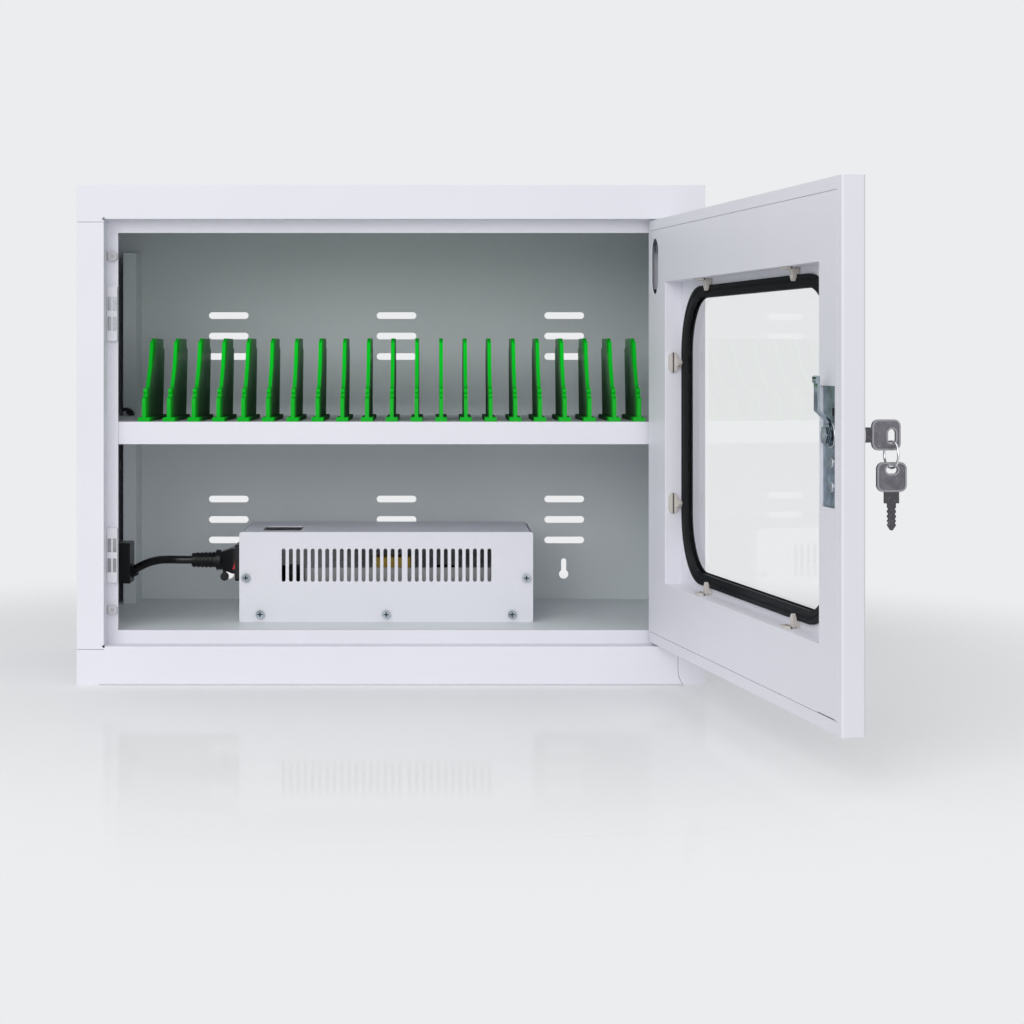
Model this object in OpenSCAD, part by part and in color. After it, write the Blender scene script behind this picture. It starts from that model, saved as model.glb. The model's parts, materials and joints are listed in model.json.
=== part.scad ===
// Cell phone locker box: a folded sheet steel cabinet with a glazed door, a cam lock,
// a shelf of phone slots between plastic dividers, and a charger in the lower compartment.
// Millimetres. X runs right, Y runs back, Z runs up. The origin is the centre of the base.
// The door is drawn shut and then turned open about its hinge pins.

/* [Cabinet] */
// Width over the side panels
cab_w = 500; // [470:1:600]
// Height of the cabinet
cab_h = 398; // [330:1:480]
// Depth from the front frame to the back of the cabinet
cab_d = 250; // [208:1:300]
// Thickness of the sheet steel
sheet = 1.2; // [1:0.1:1.4]
// Width of a front stile
stile_w = 21.5; // [18:0.5:26]
// Height of the top front rail
rail_top_h = 27; // [22:0.5:33]
// Height of the bottom front rail
rail_bottom_h = 31; // [26:0.5:38]
// Depth of the recess that takes the door
recess_d = 20; // [18:0.5:24]
// How far the stop lip stands in from a stile
lip_side = 8.6; // [8.6:0.1:11]
// How far the stop lip hangs below the top rail
lip_top = 10; // [7:0.5:12]
// How far the stop lip stands above the bottom rail
lip_bottom = 10.4; // [8:0.1:13]
// Width of the flanges folded in under the base
base_flange = 17.7; // [12:0.1:22]

/* [Shelf] */
// Height of the shelf's top face
shelf_z = 209; // [175:1:230]
// Height of the shelf's front lip
shelf_lip_h = 18; // [12:1:22]
// Gap between the shelf and the back panel
shelf_back_gap = 20.8; // [15:0.1:30]
// Width of a rear upright
upright_w = 11.6; // [9.4:0.1:13]
// Depth of a rear upright
upright_d = 36.8; // [30:0.1:44]
// Gap between an upright and the side panel
upright_gap = 5.6; // [5:0.1:9]

/* [Dividers] */
// Number of dividers
divider_count = 21; // [3:1:21]
// Distance between dividers
divider_pitch = 20; // [16:0.5:20]
// Thickness of a divider
divider_t = 3; // [2.4:0.1:4.2]
// Height of a divider
divider_h = 67.8; // [63:0.1:80]
// Width of a divider's foot
divider_foot_w = 9.5; // [7:0.5:12]
// Height of a divider's foot
divider_foot_h = 3.4; // [2.5:0.1:4.2]
// Distance from the shelf's front to the dividers
divider_setback = 4.1; // [2:0.1:8]
// Diameter of the pegs that hold a divider
peg_d = 4; // [3:0.1:5]

/* [Door] */
// Thickness of the door
door_t = 15; // [13:0.5:15]
// Gap beside the door
door_gap_side = 1.5; // [1.5:0.1:2.5]
// Gap above the door
door_gap_top = 1; // [0.8:0.1:2.5]
// Gap below the door
door_gap_bottom = 2.5; // [2:0.1:4]
// Width of the return flange round the door's inner face
door_flange = 8; // [5:0.5:9]
// Width of the same flange at the hinge edge
door_flange_hinge = 4; // [3:0.5:5]
// Angle at which the door stands open
door_open = 99.1; // [90:0.1:110]
// Distance of the hinge pins from the door's hinge edge
pivot_inset = 10; // [9:0.5:12]
// Depth of the hinge pins behind the door's outer face
pivot_depth = 5.5; // [5:0.1:6]
// Diameter of the hinge pins
hinge_pin_d = 5; // [4:0.1:5]

/* [Window] */
// Margin from the hinge edge to the window recess
recess_hinge = 51; // [42:1:60]
// Margin from the free edge to the window recess
recess_free = 41.4; // [40:0.2:50]
// Margin from the door's bottom to the window recess
recess_bottom = 51; // [42:1:60]
// Margin from the door's top to the window recess
recess_top = 50.3; // [42:0.1:60]
// Gap between the recess and the window seal
seal_gap = 5; // [4:0.1:7]
// Width of the window seal
seal_w = 8.9; // [7.5:0.1:10]
// Outer corner radius of the window seal
seal_r = 51; // [43:1:60]
// Thickness of the window pane
pane_t = 3; // [2.4:0.1:3.4]
// Distance from a clip above or below the window to the end of the seal's straight run
clip_end_x = 23.8; // [8:0.1:60]
// Distance from a clip beside the window to the end of the seal's straight run
clip_end_z = 6.85; // [4:0.05:30]

/* [Lock] */
// Distance from the door's free edge to the lock's axis
lock_inset = 24; // [22:0.1:28]
// Gap between the shelf's top and the latch lever when it is turned level
lever_clearance = 0.9; // [0.7:0.1:20]
// Diameter of the lock housing behind the door's skin
lock_d = 16; // [13.3:0.1:17]
// How far the lock housing stands out of the door
lock_proud = 5.5; // [4:0.5:8]
// Diameter of the turning plug
plug_d = 11; // [9:0.5:11]
// Reach of the latch lever
lever_reach = 36.3; // [33:0.1:38]
// Width of the latch lever
lever_w = 7; // [5.5:0.5:7]
// Length of the lock plate
plate_h = 80; // [70:1:90]

/* [Keys] */
// Width of the bow of a key
bow_w = 18.2; // [15.2:0.1:20]
// Height of the bow of a key
bow_h = 18.9; // [15.8:0.1:20]
// Thickness of a key's bow
bow_t = 2.3; // [1.9:0.1:2.8]
// Outer diameter of the key ring
ring_d = 18; // [16:0.5:21]
// Wire diameter of the key ring
ring_wire = 1.6; // [1.4:0.1:1.8]

/* [Charger] */
// Width of the charger
charger_w = 243.8; // [203:0.2:270]
// Height of the charger
charger_h = 74.6; // [66:0.1:90]
// Depth of the charger
charger_d = 117; // [97.5:0.5:140]
// Distance from the charger's front back to the middle of its mains socket
socket_setback = 35; // [33.5:0.5:44]
// Sheet thickness of the charger
charger_sheet = 1; // [0.8:0.1:1.2]
// Width of a vent slot of the charger
slot_w = 3.3; // [2.6:0.1:4]
// Length of a vent slot of the charger
slot_h = 27.5; // [20:0.5:33]
// Distance between vent slots
slot_pitch = 6.03; // [5:0.01:6.03]
// Number of vent slots in the left group
slots_left = 17; // [1:1:17]
// Number of vent slots in the right group
slots_right = 12; // [1:1:12]

/* [Mains lead] */
// Diameter of the short mains lead
lead_d = 6.9; // [5.8:0.1:8]

/* [Hidden] */

$fn = 48;

// Clearances
run_gap = 0.05;    // radial, between a turning shaft and its hole
loose_gap = 0.3;   // between pieces that stand clear of each other
hang_gap = 0.45;   // where a key or the ring hangs on its neighbour
fit_gap = 0.15;    // around a piece that sits in a cut-out

// Cabinet planes
half_w = cab_w / 2;
front_y = -cab_d / 2;
back_y = cab_d / 2;
inner_x = half_w - sheet;             // inner face of a side panel
open_x = half_w - stile_w;            // edge of the front opening
open_z0 = rail_bottom_h;
open_z1 = cab_h - rail_top_h;
stop_y = front_y + recess_d;          // front face of the stop lip
lip_x = open_x - lip_side;
lip_z1 = open_z1 - lip_top;
floor_z = open_z0 + lip_bottom;       // top face of the raised floor
back_in_y = back_y - sheet;           // inner face of the back panel
seam_drop = 2.3;                      // frame seams lie this far past the opening
relief = 2.2;                         // side of the relief notch at a frame corner
rail_rise = 0.9;                      // the bottom rail stands this far off the floor
rail_foot_w = 18;                     // except at its ends
foot_seam_h = 12;                     // height at which the right foot seam starts to curve
foot_seam_r = 18;                     // radius of that curve

// Back panel
vent_l = 36;
vent_w = 6;
vent_pitch_x = 152.5;
vent_pitch_z = 18.6;
vent_rows = 3;
vent_top_gap = 99;                    // from the roof to the highest row
vent_floor_gap = 53.6;                // from the raised floor to the lowest row
keyhole_pitch = 304;
keyhole_floor_gap = 22.6;
keyhole_r = 4.2;
keyhole_slot_r = 2.3;
keyhole_slot_h = 12;

// Shelf
shelf_y0 = stop_y + sheet + loose_gap;
shelf_y1 = back_in_y - shelf_back_gap;
shelf_flange_h = 14;
upright_x = inner_x - upright_gap - upright_w / 2;
upright_y0 = back_in_y - upright_d;
upright_top_gap = 7;                  // from the stop lip to the uprights' tops
clip_t = 4;                           // thickness of a shelf clip
clip_in = 1.2;                        // between a shelf clip and the upright's inner edge
shelf_clip_x = upright_x - upright_w / 2 + clip_in;
clip_r = 7;                           // outer radius of a shelf clip
clip_leg = 5.2;                       // width of a shelf clip's leg
clip_drop = 6;                        // length of a shelf clip's leg below the shelf

// Dividers
divider_y0 = shelf_y0 + divider_setback;
divider_foot_l = 113;
peg_places = [18, 96];                // from the front of a divider
peg_l = 2.6;                          // below the shelf's top face
function divider_name(i) = str("divider_", i < 9 ? "0" : "", i + 1);
function divider_x(i) = (i - (divider_count - 1) / 2) * divider_pitch;

// Magnetic catches and bumpers on the left stop lip
catch_z = [open_z0 + 71, open_z1 - 75];
bumper_z = [open_z0 + 27, open_z1 - 29];
lip_mid_x = -(lip_x + open_x) / 2;
catch_w = lip_side - 0.4;
catch_h = 44;
catch_t = 4.5;
pole_w = 2.7;
pole_h = 11;
pole_pitch_x = 4.2;
pole_pitch_z = 16;
pole_t = 3.5;
pole_proud = 0.1;
bumper_d = 8;
bumper_t = 4.4;
bumper_dimple_d = 3;

// Door, drawn shut
door_x1 = open_x - door_gap_side;     // hinge edge
door_x0 = -door_x1;                   // free edge
door_z0 = open_z0 + door_gap_bottom;
door_z1 = open_z1 - door_gap_top;
door_y0 = front_y;
door_y1 = front_y + door_t;
skin_y = door_y0 + sheet;             // inner face of the outer skin
inner_y1 = door_y1 - sheet;           // inner pan's rim, under the return flange
inner_y0 = inner_y1 - sheet;
field_x = [door_x0 + door_flange + loose_gap, door_x1 - door_flange_hinge - loose_gap];
field_z = [door_z0 + door_flange + loose_gap, door_z1 - door_flange - loose_gap];
pivot_x = door_x1 - pivot_inset;
pivot_y = door_y0 + pivot_depth;
pin_r = hinge_pin_d / 2;
pin_hole_r = pin_r + run_gap;
bend_r = 1.5;                         // outer bend radius at the door's upright edges

// Lower hinge pin
washer_r = 5;
lower_pin_top = door_z0 + 10;

// Upper hinge pin, its spring and its bracket
access_w = 22;                        // obround access hole in the inner pan
access_h = 44;
access_drop = 37;                     // from the door's top to the hole's centre
access_inset = 19.3;                  // from the hinge edge to the hole's centre
upper_pin_engage = 4;                 // above the recess's upper face
upper_pin_bottom = door_z1 - 64;
bracket_drop = 56;                    // from the door's top to the bracket's plate
bracket_w = 16;
bracket_h = 14;
collar_drop = 25.5;                   // from the door's top to the underside of the pin's collar
collar_t = 2;
collar_r = 3.8;
grip_h = 7;                           // grip block on the upper pin, behind the access hole
grip_past = 5;                        // how far it reaches past the hole's centre
grip_d = 6;
spring_r = 3.3;                       // mean radius of the spring
spring_wire = 0.9;
spring_turns = 7;

// Window
recess_x0 = door_x0 + recess_free;
recess_x1 = door_x1 - recess_hinge;
recess_z0 = door_z0 + recess_bottom;
recess_z1 = door_z1 - recess_top;
recess_cx = (recess_x0 + recess_x1) / 2;
recess_cz = (recess_z0 + recess_z1) / 2;
seal_wide = recess_x1 - recess_x0 - 2 * seal_gap;
seal_high = recess_z1 - recess_z0 - 2 * seal_gap;
seal_groove = 3.5;                    // depth of the seal's grooves
seal_in = 2.2;                        // seal proud of the skin, inside
seal_out = 3.6;                       // seal proud of the skin, outside
seal_channel = [3.4, 4.6];            // shallow channel in its inner face, from its outer edge
seal_channel_t = 0.6;
pane_y0 = door_y0 - seal_out + 1;
clip_x = seal_wide / 2 - seal_r - clip_end_x;   // places of the clips, from the window's centre
clip_z = seal_high / 2 - seal_r - clip_end_z;
clip_base_w = 16;
clip_base_d = 8;
clip_base_t = 1.6;
clip_groove = 1;
clip_body_w = 6;
clip_finger_t = 3;
clip_over = 4.3;                      // how far a finger reaches over the seal
clip_tip = 3;                         // length of the pointed tip

// Lock
lock_r = lock_d / 2;
plug_r = plug_d / 2;
lock_x = door_x0 + lock_inset;
lock_z = shelf_z + lever_w / 2 + lever_clearance;
boss_r = lock_r + 1.5;
lock_flange_r = lock_r + 5;
lock_flange_t = 2.5;
lock_face_y = door_y0 - lock_proud;
lock_end_y = inner_y0 + 1.5;
plate_edge = 2.85;                    // between the plate and the door's side wall
plate_w = recess_free - 2 * sheet - fit_gap - plate_edge;
plate_cut = 3;                        // the inner pan's cut-out ends this far inside the plate
plate_cut_edge = 12.8;                // and this far from the door's free edge
plate_x0 = door_x0 + sheet + plate_edge;
plate_drop = 7;                       // the plate's centre lies below the lock's axis
plate_y0 = inner_y0 - sheet;
plate_slot_x = [-6, 0];               // slot above the lock, from the lock's axis
plate_slot_z = [11.5, 16.5];
ridge_x = [5, 7];                     // pressed ridge below the lock, from the lock's axis
ridge_z = [-42, -20];
rivet_r = 3;
rivet_shank_r = 1.6;
rivet_head_t = 1.8;
rivet_dx = -3;
rivet_dz = [-16.5, -31.5];
lever_t = 1.6;
lever_hub_r = 7;
lever_y0 = lock_end_y + loose_gap;    // door side of the lever at its hub
lever_far_y = stop_y + sheet + loose_gap;       // and past the crank, behind the stop lip
lever_crank_r = lock_x + lip_x - 1.4; // the crank ends short of the stop lip
lever_crank_l = 6.5;
lever_tip_l = 5;                      // length of its thicker tip
lever_tip_t = 2.6;
lever_tip_r = 0.8;
tail_w = 6;                           // square of the plug's tail
stud_r = 2.5;
nut_af = 10;
nut_t = 2.4;
keyway_t = 2.4;
keyway_h = 7.6;
keyway_l = lever_y0 - lock_face_y - 2.4;

// Keys
blade_t = 2;
blade_h = 5.2;
blade_l = keyway_l - 1;
collar_h = 9.3;
collar_l = 7;
bow_r = 4.2;
bow_rim = 1.2;
bow_dish = 0.35;
key_hole_w = 4.9;
key_hole_l = 8.6;
key_hole_y = 12.6;                    // from the bow's foot to its hole
key_hole_z = -0.8;
spare_hole_w = 7.4;
spare_hole_h = 4.6;
spare_rim = 2.4;                      // between the spare key's hole and its top
ring_r = (ring_d - ring_wire) / 2;
ring_turn = 10;                       // the ring's plane, turned from the door's plane
bow_y1 = lock_face_y - collar_l;      // foot of the bow of the key in the lock
hole_y = bow_y1 - key_hole_y;
ring_top_z = lock_z + key_hole_z - key_hole_l / 2 + ring_wire / 2 + hang_gap;
ring_low_z = ring_top_z - 2 * ring_r;
spare_top_z = ring_low_z + ring_wire / 2 + hang_gap + spare_rim;

// Mains lead
// Points of the mains lead, from the wall inlet to its connector
lead_route = [
    [-219.5, -5, 81.2], [-217.3, -5.3, 82.4], [-215.1, -5.5, 83.5], [-211.4, -6.1, 85.3],
    [-208, -6.9, 86.7], [-204.6, -7.9, 87.8], [-201.4, -9.1, 88.6], [-198.2, -10.2, 89.2],
    [-194.9, -11.4, 89.5], [-191.4, -12.5, 89.7], [-187.8, -13.5, 89.8], [-184, -14.3, 89.8],
    [-179.8, -14.8, 89.8], [-175.3, -15, 89.8], [-172.8, -15, 89.8], [-170.3, -15, 89.8]];
lead_start = lead_route[0];
lead_end = lead_route[len(lead_route) - 1];
sleeve_l = 20.5;                      // ribbed sleeve of the lead's connector
ring_collar_l = 4;                    // collar behind the sleeve
plug_body_l = 14.4;                   // body of the connector
inlet_flange_t = 4;                   // the charger's own inlet flange, against that body

// Charger
charger_x = lead_end[0] + sleeve_l + ring_collar_l + plug_body_l + inlet_flange_t;
charger_y0 = lead_end[1] - socket_setback;
charger_y1 = charger_y0 + charger_d;
charger_x1 = charger_x + charger_w;
charger_z1 = floor_z + charger_h;
charger_r = 2.5;
tray_flange = 12;
slot_cz = floor_z + 47.1;
slot_x0 = charger_x + 36.8;           // first slot of the left group
slot_x1 = charger_x + 141.2;          // first slot of the right group
side_screw_inset = 5.5;
side_screw_h = 36.6;
low_screw_inset = 17.3;
low_screw_h = 6.3;
screw_r = 1.5;
screw_hole_r = 1.6;
screw_head_r = 3.5;
screw_head_t = 2;
screw_l = 4.5;
outlet_w = 32;                        // opening in the charger's top
outlet_d = 46;
outlet_inset = 18;
outlet_setback = 18;
board_h = 12;                         // circuit board above the charger's bottom
board_t = 1.6;

// Charger inlet and its switch
inlet_w = 48;
inlet_h = 30;
inlet_edge = 2;                       // rim of the inlet's flange round its body
inlet_body_l = 24;
socket_y = lead_end[1];
inlet_y = socket_y - 7;
inlet_z = lead_end[2];
socket_w = 25;
socket_h = 17;
socket_l = 14;
switch_y = inlet_y - 15;
switch_w = 9;
switch_h = 13;
switch_tilt = 10;
switch_x = charger_x - 2;             // rocker's pivot
switch_room = 7.9;

// Wall inlet and the lead's own pieces
wall_inlet_y = lead_start[1];
wall_inlet_z = lead_start[2] + 5.8;
wall_inlet_w = 28;
wall_inlet_h = 34;
wall_flange = 5;
wall_flange_t = 2.5;
lead_boss_r = 5.5;
lead_boss_l = 9;
sleeve_r = [5.7, 6.3];
ring_collar_r = 8.5;
plug_body_w = 27;
plug_body_h = [14, 21];
lug_r = 3.5;
lug_t = 4;
lead_sides = 10;
lead_rings = [0, 1, 3, 6, 9, 12, 14, 15];

// ---- Shared shapes ----

// The range [low, high] of a width round a middle
function span(middle, width) = [middle - width / 2, middle + width / 2];

// A block between two corners, each axis given as [low, high]
module block(x, y, z)
    translate([x[0], y[0], z[0]]) cube([x[1] - x[0], y[1] - y[0], z[1] - z[0]]);

// A flat rectangle between two corners
module rect(x, y)
    translate([x[0], y[0]]) square([x[1] - x[0], y[1] - y[0]]);

// Extrudes a shape drawn in X and Z from y0 to y1
module extrude_y(y0, y1)
    translate([0, y1, 0]) rotate([90, 0, 0]) linear_extrude(y1 - y0) children();

// Extrudes a shape drawn in Y and Z from x0 to x1
module extrude_x(x0, x1)
    translate([x0, 0, 0]) rotate([90, 0, 90]) linear_extrude(x1 - x0) children();

// A slot with round ends, w long and h high
module obround(w, h) {
    if (w > h) {
        square([w - h, h], center = true);
        for (s = [-1, 1]) translate([s * (w - h) / 2, 0]) circle(d = h);
    } else {
        square([w, h - w], center = true);
        for (s = [-1, 1]) translate([0, s * (h - w) / 2]) circle(d = w);
    }
}

// A rectangle with round corners
module rounded(w, h, r) {
    square([w - 2 * r, h], center = true);
    square([w, h - 2 * r], center = true);
    for (sx = [-1, 1], sz = [-1, 1])
        translate([sx * (w / 2 - r), sz * (h / 2 - r)]) circle(r);
}

// A cylinder along Y between y0 and y1
module rod_y(x, z, r, y0, y1)
    translate([x, y1, z]) rotate([90, 0, 0]) cylinder(h = y1 - y0, r = r);

// Puts the door and what it carries at its open angle
module open_door()
    translate([pivot_x, pivot_y, 0]) rotate([0, 0, door_open])
        translate([-pivot_x, -pivot_y, 0]) children();

// ---- Cabinet ----

module corner_notch(x, z)
    translate([x, 0, z]) rotate([0, 45, 0])
        block([-relief / 2, relief / 2], [front_y - 1, front_y + 3], [-relief / 2, relief / 2]);

module top_panel() color("#e3e3ec") difference() {
    union() {
        block([-half_w, half_w], [front_y, back_y], [cab_h - sheet, cab_h]);
        block([-half_w, half_w], [front_y, front_y + sheet], [open_z1 - seam_drop, cab_h - sheet]);
        block([-open_x, open_x], [front_y + sheet, stop_y + sheet], [open_z1, open_z1 + sheet]);
        block([-open_x, open_x], [stop_y, stop_y + sheet], [lip_z1, open_z1]);
    }
    block([-open_x, open_x], [front_y - 1, front_y + sheet], [0, open_z1]);
    for (s = [-1, 1]) corner_notch(s * open_x, open_z1);
    translate([pivot_x, pivot_y, open_z1 - 1]) cylinder(h = sheet + 2, r = pin_hole_r);
}

// The right foot of the frame: the stile runs down to the base past a curved seam
module foot_outline(grow)
    difference() {
        rect([open_x - grow, half_w], [0, open_z0 - seam_drop - loose_gap + grow]);
        difference() {
            rect([0, open_x + foot_seam_r], [-1, foot_seam_h]);
            translate([open_x + foot_seam_r, foot_seam_h]) circle(foot_seam_r + grow);
        }
    }

module bottom_panel() color("#e3e3ec") difference() {
    union() {
        block([-inner_x, inner_x], [front_y + sheet, back_y], [0, sheet]);
        extrude_y(front_y, front_y + sheet) difference() {
            union() {
                rect([-half_w, half_w], [0, open_z0 - seam_drop - loose_gap]);
                rect([-open_x, open_x], [0, open_z0]);
            }
            rect([rail_foot_w - half_w, half_w], [-1, rail_rise]);
            foot_outline(loose_gap);
        }
        block([-open_x, open_x], [front_y + sheet, stop_y], [open_z0 - sheet, open_z0]);
        block([-open_x, open_x], [stop_y, stop_y + sheet], [open_z0 - sheet, floor_z]);
    }
    for (s = [-1, 1]) corner_notch(s * open_x, open_z0);
    translate([pivot_x, pivot_y, open_z0 - sheet - 1]) cylinder(h = sheet + 2, r = pin_r);
}

module floor_panel() color("#d9dbe2") {
    block([-inner_x, inner_x], [stop_y + sheet, back_in_y], [floor_z - sheet, floor_z]);
    for (s = [-1, 1]) scale([s, 1, 1])
        block([inner_x - sheet, inner_x], [stop_y + sheet + 20, back_in_y - 20],
              [floor_z - sheet - 14, floor_z - sheet]);
}

// A side panel, drawn on the right
module side_panel(foot) difference() {
    union() {
        block([inner_x, half_w], [front_y, back_y], [0, cab_h - sheet]);
        block([inner_x - base_flange + sheet, inner_x], [front_y + sheet, back_in_y], [sheet, 2 * sheet]);
        extrude_y(front_y, front_y + sheet) union() {
            rect([open_x, inner_x], [open_z0 - seam_drop, open_z1 - seam_drop - loose_gap]);
            if (foot) foot_outline(0);
        }
        block([open_x, open_x + sheet], [front_y + sheet, stop_y], [open_z0, open_z1]);
        block([lip_x, open_x + sheet], [stop_y, stop_y + sheet], [floor_z, lip_z1]);
        block([open_x, open_x + sheet], [stop_y, stop_y + sheet], [open_z0, open_z1]);
    }
    for (z = [open_z0, open_z1]) corner_notch(open_x, z);
    // the rails' ends lap over the wall's front edge
    block([inner_x - 1, half_w + 1], [front_y - 1, front_y + sheet],
          [open_z1 - seam_drop - loose_gap, cab_h]);
    if (!foot)
        block([inner_x - 1, half_w + 1], [front_y - 1, front_y + sheet], [-1, open_z0 - seam_drop]);
}

module side_panel_right() color("#e3e3ec") side_panel(true);

module side_panel_left() color("#e3e3ec") difference() {
    mirror([1, 0, 0]) side_panel(false);
    wall_inlet_cut(fit_gap);
}

module wall_inlet_cut(gap)
    block([-half_w - 5, -inner_x + 5],
          span(wall_inlet_y, wall_inlet_w + 2 * gap), span(wall_inlet_z, wall_inlet_h + 2 * gap));

module vent_pattern()
    for (cx = [-1, 0, 1], row = [0 : vent_rows - 1]) {
        translate([cx * vent_pitch_x, cab_h - vent_top_gap - row * vent_pitch_z])
            obround(vent_l, vent_w);
        translate([cx * vent_pitch_x, floor_z + vent_floor_gap + row * vent_pitch_z])
            obround(vent_l, vent_w);
    }

module back_panel() color("#d5dadb") extrude_y(back_in_y, back_y) difference() {
    rect([-inner_x, inner_x], [sheet, cab_h - sheet]);
    vent_pattern();
    for (s = [-1, 1]) translate([s * keyhole_pitch / 2, floor_z + keyhole_floor_gap]) {
        circle(keyhole_r);
        translate([0, keyhole_slot_h]) circle(keyhole_slot_r);
        rect([-keyhole_slot_r, keyhole_slot_r], [0, keyhole_slot_h]);
    }
}

// ---- Shelf ----

module shelf() color("#e6e7ee") difference() {
    union() {
        block([-inner_x, inner_x], [shelf_y0, shelf_y1], [shelf_z - sheet, shelf_z]);
        block([-inner_x, inner_x], [shelf_y0, shelf_y0 + sheet],
              [shelf_z - shelf_lip_h, shelf_z - sheet]);
        block([-inner_x, inner_x], [shelf_y0, shelf_y0 + 12],
              [shelf_z - shelf_lip_h, shelf_z - shelf_lip_h + sheet]);
        for (s = [-1, 1]) scale([s, 1, 1])
            block([inner_x - sheet, inner_x], [shelf_y0 + 14, upright_y0 - 6],
                  [shelf_z - shelf_flange_h, shelf_z - sheet]);
    }
    for (s = [-1, 1]) scale([s, 1, 1]) {
        block([upright_x - upright_w / 2 - loose_gap, inner_x + 1],
              [upright_y0 - loose_gap, shelf_y1 + 1], [shelf_z - shelf_lip_h, shelf_z + 1]);
        clip_leg_block(fit_gap, 2);
    }
    for (i = [0 : divider_count - 1], p = peg_places)
        translate([divider_x(i), divider_y0 + p, shelf_z - 5]) cylinder(h = 6, d = peg_d, $fn = 24);
}

module uprights() color("#d5dadb")
    for (s = [-1, 1]) scale([s, 1, 1]) difference() {
        block([upright_x - upright_w / 2, upright_x + upright_w / 2], [upright_y0, back_in_y],
              [floor_z, lip_z1 - upright_top_gap]);
        block([upright_x - upright_w / 2 + sheet, upright_x + upright_w / 2 - sheet],
              [upright_y0 + sheet, back_in_y + 1], [floor_z - 1, lip_z1]);
    }

// Leg of a shelf clip where it passes down through the shelf, drawn on the right
module clip_leg_block(gap, extra)
    block([shelf_clip_x - gap, shelf_clip_x + clip_leg + gap],
          [upright_y0 - loose_gap - clip_t - gap, upright_y0 - loose_gap + gap],
          [shelf_z - clip_drop - extra, shelf_z + extra - 2]);

module shelf_clips() color("#151515")
    for (s = [-1, 1]) scale([s, 1, 1]) {
        clip_leg_block(0, 2);
        extrude_y(upright_y0 - loose_gap - clip_t, upright_y0 - loose_gap)
            translate([shelf_clip_x + clip_r, shelf_z]) {
                difference() {
                    circle(clip_r);
                    circle(clip_r - clip_leg);
                    rect([0, 2 * clip_r], [-clip_r, clip_r]);
                    rect([-2 * clip_r, 2 * clip_r], [-2 * clip_r, 0]);
                }
                rect([0, upright_w - clip_in - clip_r], [clip_r - 2.7, clip_r]);
            }
    }

// ---- Dividers ----

// Side outline of a divider, Y from its front and Z from the shelf
module divider_outline() {
    polygon([[0, 0], [0, 17.7], [1.5, 19.3], [8.3, 20.2], [9.6, 22.4], [12, 26.4], [22.8, 27.2], [25.2, 30],
             [40, 46], [48, divider_h - 4.4], [50, divider_h - 2.6], [60, divider_h - 2.2],
             [62, divider_h], [115, divider_h], [115.6, divider_h - 7.4], [124, divider_h - 9],
             [divider_foot_l, divider_foot_h], [divider_foot_l, 0]]);
    translate([10.2, 24.6]) circle(2.1, $fn = 24);
}

module divider(i) color("#1ccf32") translate([divider_x(i), divider_y0, shelf_z]) {
    extrude_x(-divider_t / 2, divider_t / 2) divider_outline();
    block([-divider_foot_w / 2, divider_foot_w / 2], [0, divider_foot_l], [0, divider_foot_h]);
    for (p = peg_places) translate([0, p, -peg_l]) cylinder(h = peg_l + 1, d = peg_d, $fn = 24);
}

// ---- Catches and bumpers ----

module each_catch()
    for (z = catch_z) translate([lip_mid_x, stop_y, z]) children();

module each_pole()
    for (sx = [-1, 1], sz = [-1, 1])
        translate([sx * pole_pitch_x / 2, -catch_t - pole_proud, sz * pole_pitch_z / 2]) children();

module catch_housings() color("#e2e3ea") each_catch() difference() {
    extrude_y(-catch_t, 0) rounded(catch_w, catch_h, 1.2);
    each_pole() block([-pole_w / 2, pole_w / 2], [-1, pole_t], [-pole_h / 2, pole_h / 2]);
}

module catch_poles() color("#9a9ba3") each_catch() each_pole()
    block([-pole_w / 2, pole_w / 2], [0, pole_t], [-pole_h / 2, pole_h / 2]);

module door_bumpers() color("#c9cacb")
    for (z = bumper_z) translate([lip_mid_x, stop_y, z]) difference() {
        rod_y(0, 0, bumper_d / 2, -bumper_t, 0);
        rod_y(0, 0, bumper_dimple_d / 2, -bumper_t - 1, -bumper_t + 1.5);
    }

// ---- Hinges ----

module hinge_pin_lower() color("#9c9ea3") translate([pivot_x, pivot_y, 0]) {
    translate([0, 0, open_z0 - sheet]) cylinder(h = lower_pin_top - open_z0 + sheet, r = pin_r);
    translate([0, 0, open_z0]) cylinder(h = door_gap_bottom - loose_gap, r = washer_r);
}

module hinge_pin_upper() color("#9c9ea3") open_door() translate([pivot_x, pivot_y, 0]) {
    translate([0, 0, upper_pin_bottom])
        cylinder(h = open_z1 + upper_pin_engage - upper_pin_bottom, r = pin_r);
    translate([0, 0, door_z1 - collar_drop]) cylinder(h = collar_t, r = collar_r);
    block([pivot_inset - access_inset - grip_past, 0],
          [inner_y0 - loose_gap - grip_d - pivot_y, inner_y0 - loose_gap - pivot_y],
          [door_z1 - collar_drop, door_z1 - collar_drop + grip_h]);
}

spring_low = door_z1 - bracket_drop + sheet + 0.1;
spring_high = door_z1 - collar_drop - 0.1;

// Points of the upper spring's centre line
function spring_point(t) = [
    spring_r * cos(360 * spring_turns * t), spring_r * sin(360 * spring_turns * t),
    spring_low + spring_wire / 2 + t * (spring_high - spring_low - spring_wire)];

module hinge_spring() color("#8f9196") open_door() translate([pivot_x, pivot_y, 0])
    tube([for (k = [0 : spring_turns * 8]) spring_point(k / (spring_turns * 8))], spring_wire / 2, 6);

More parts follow.
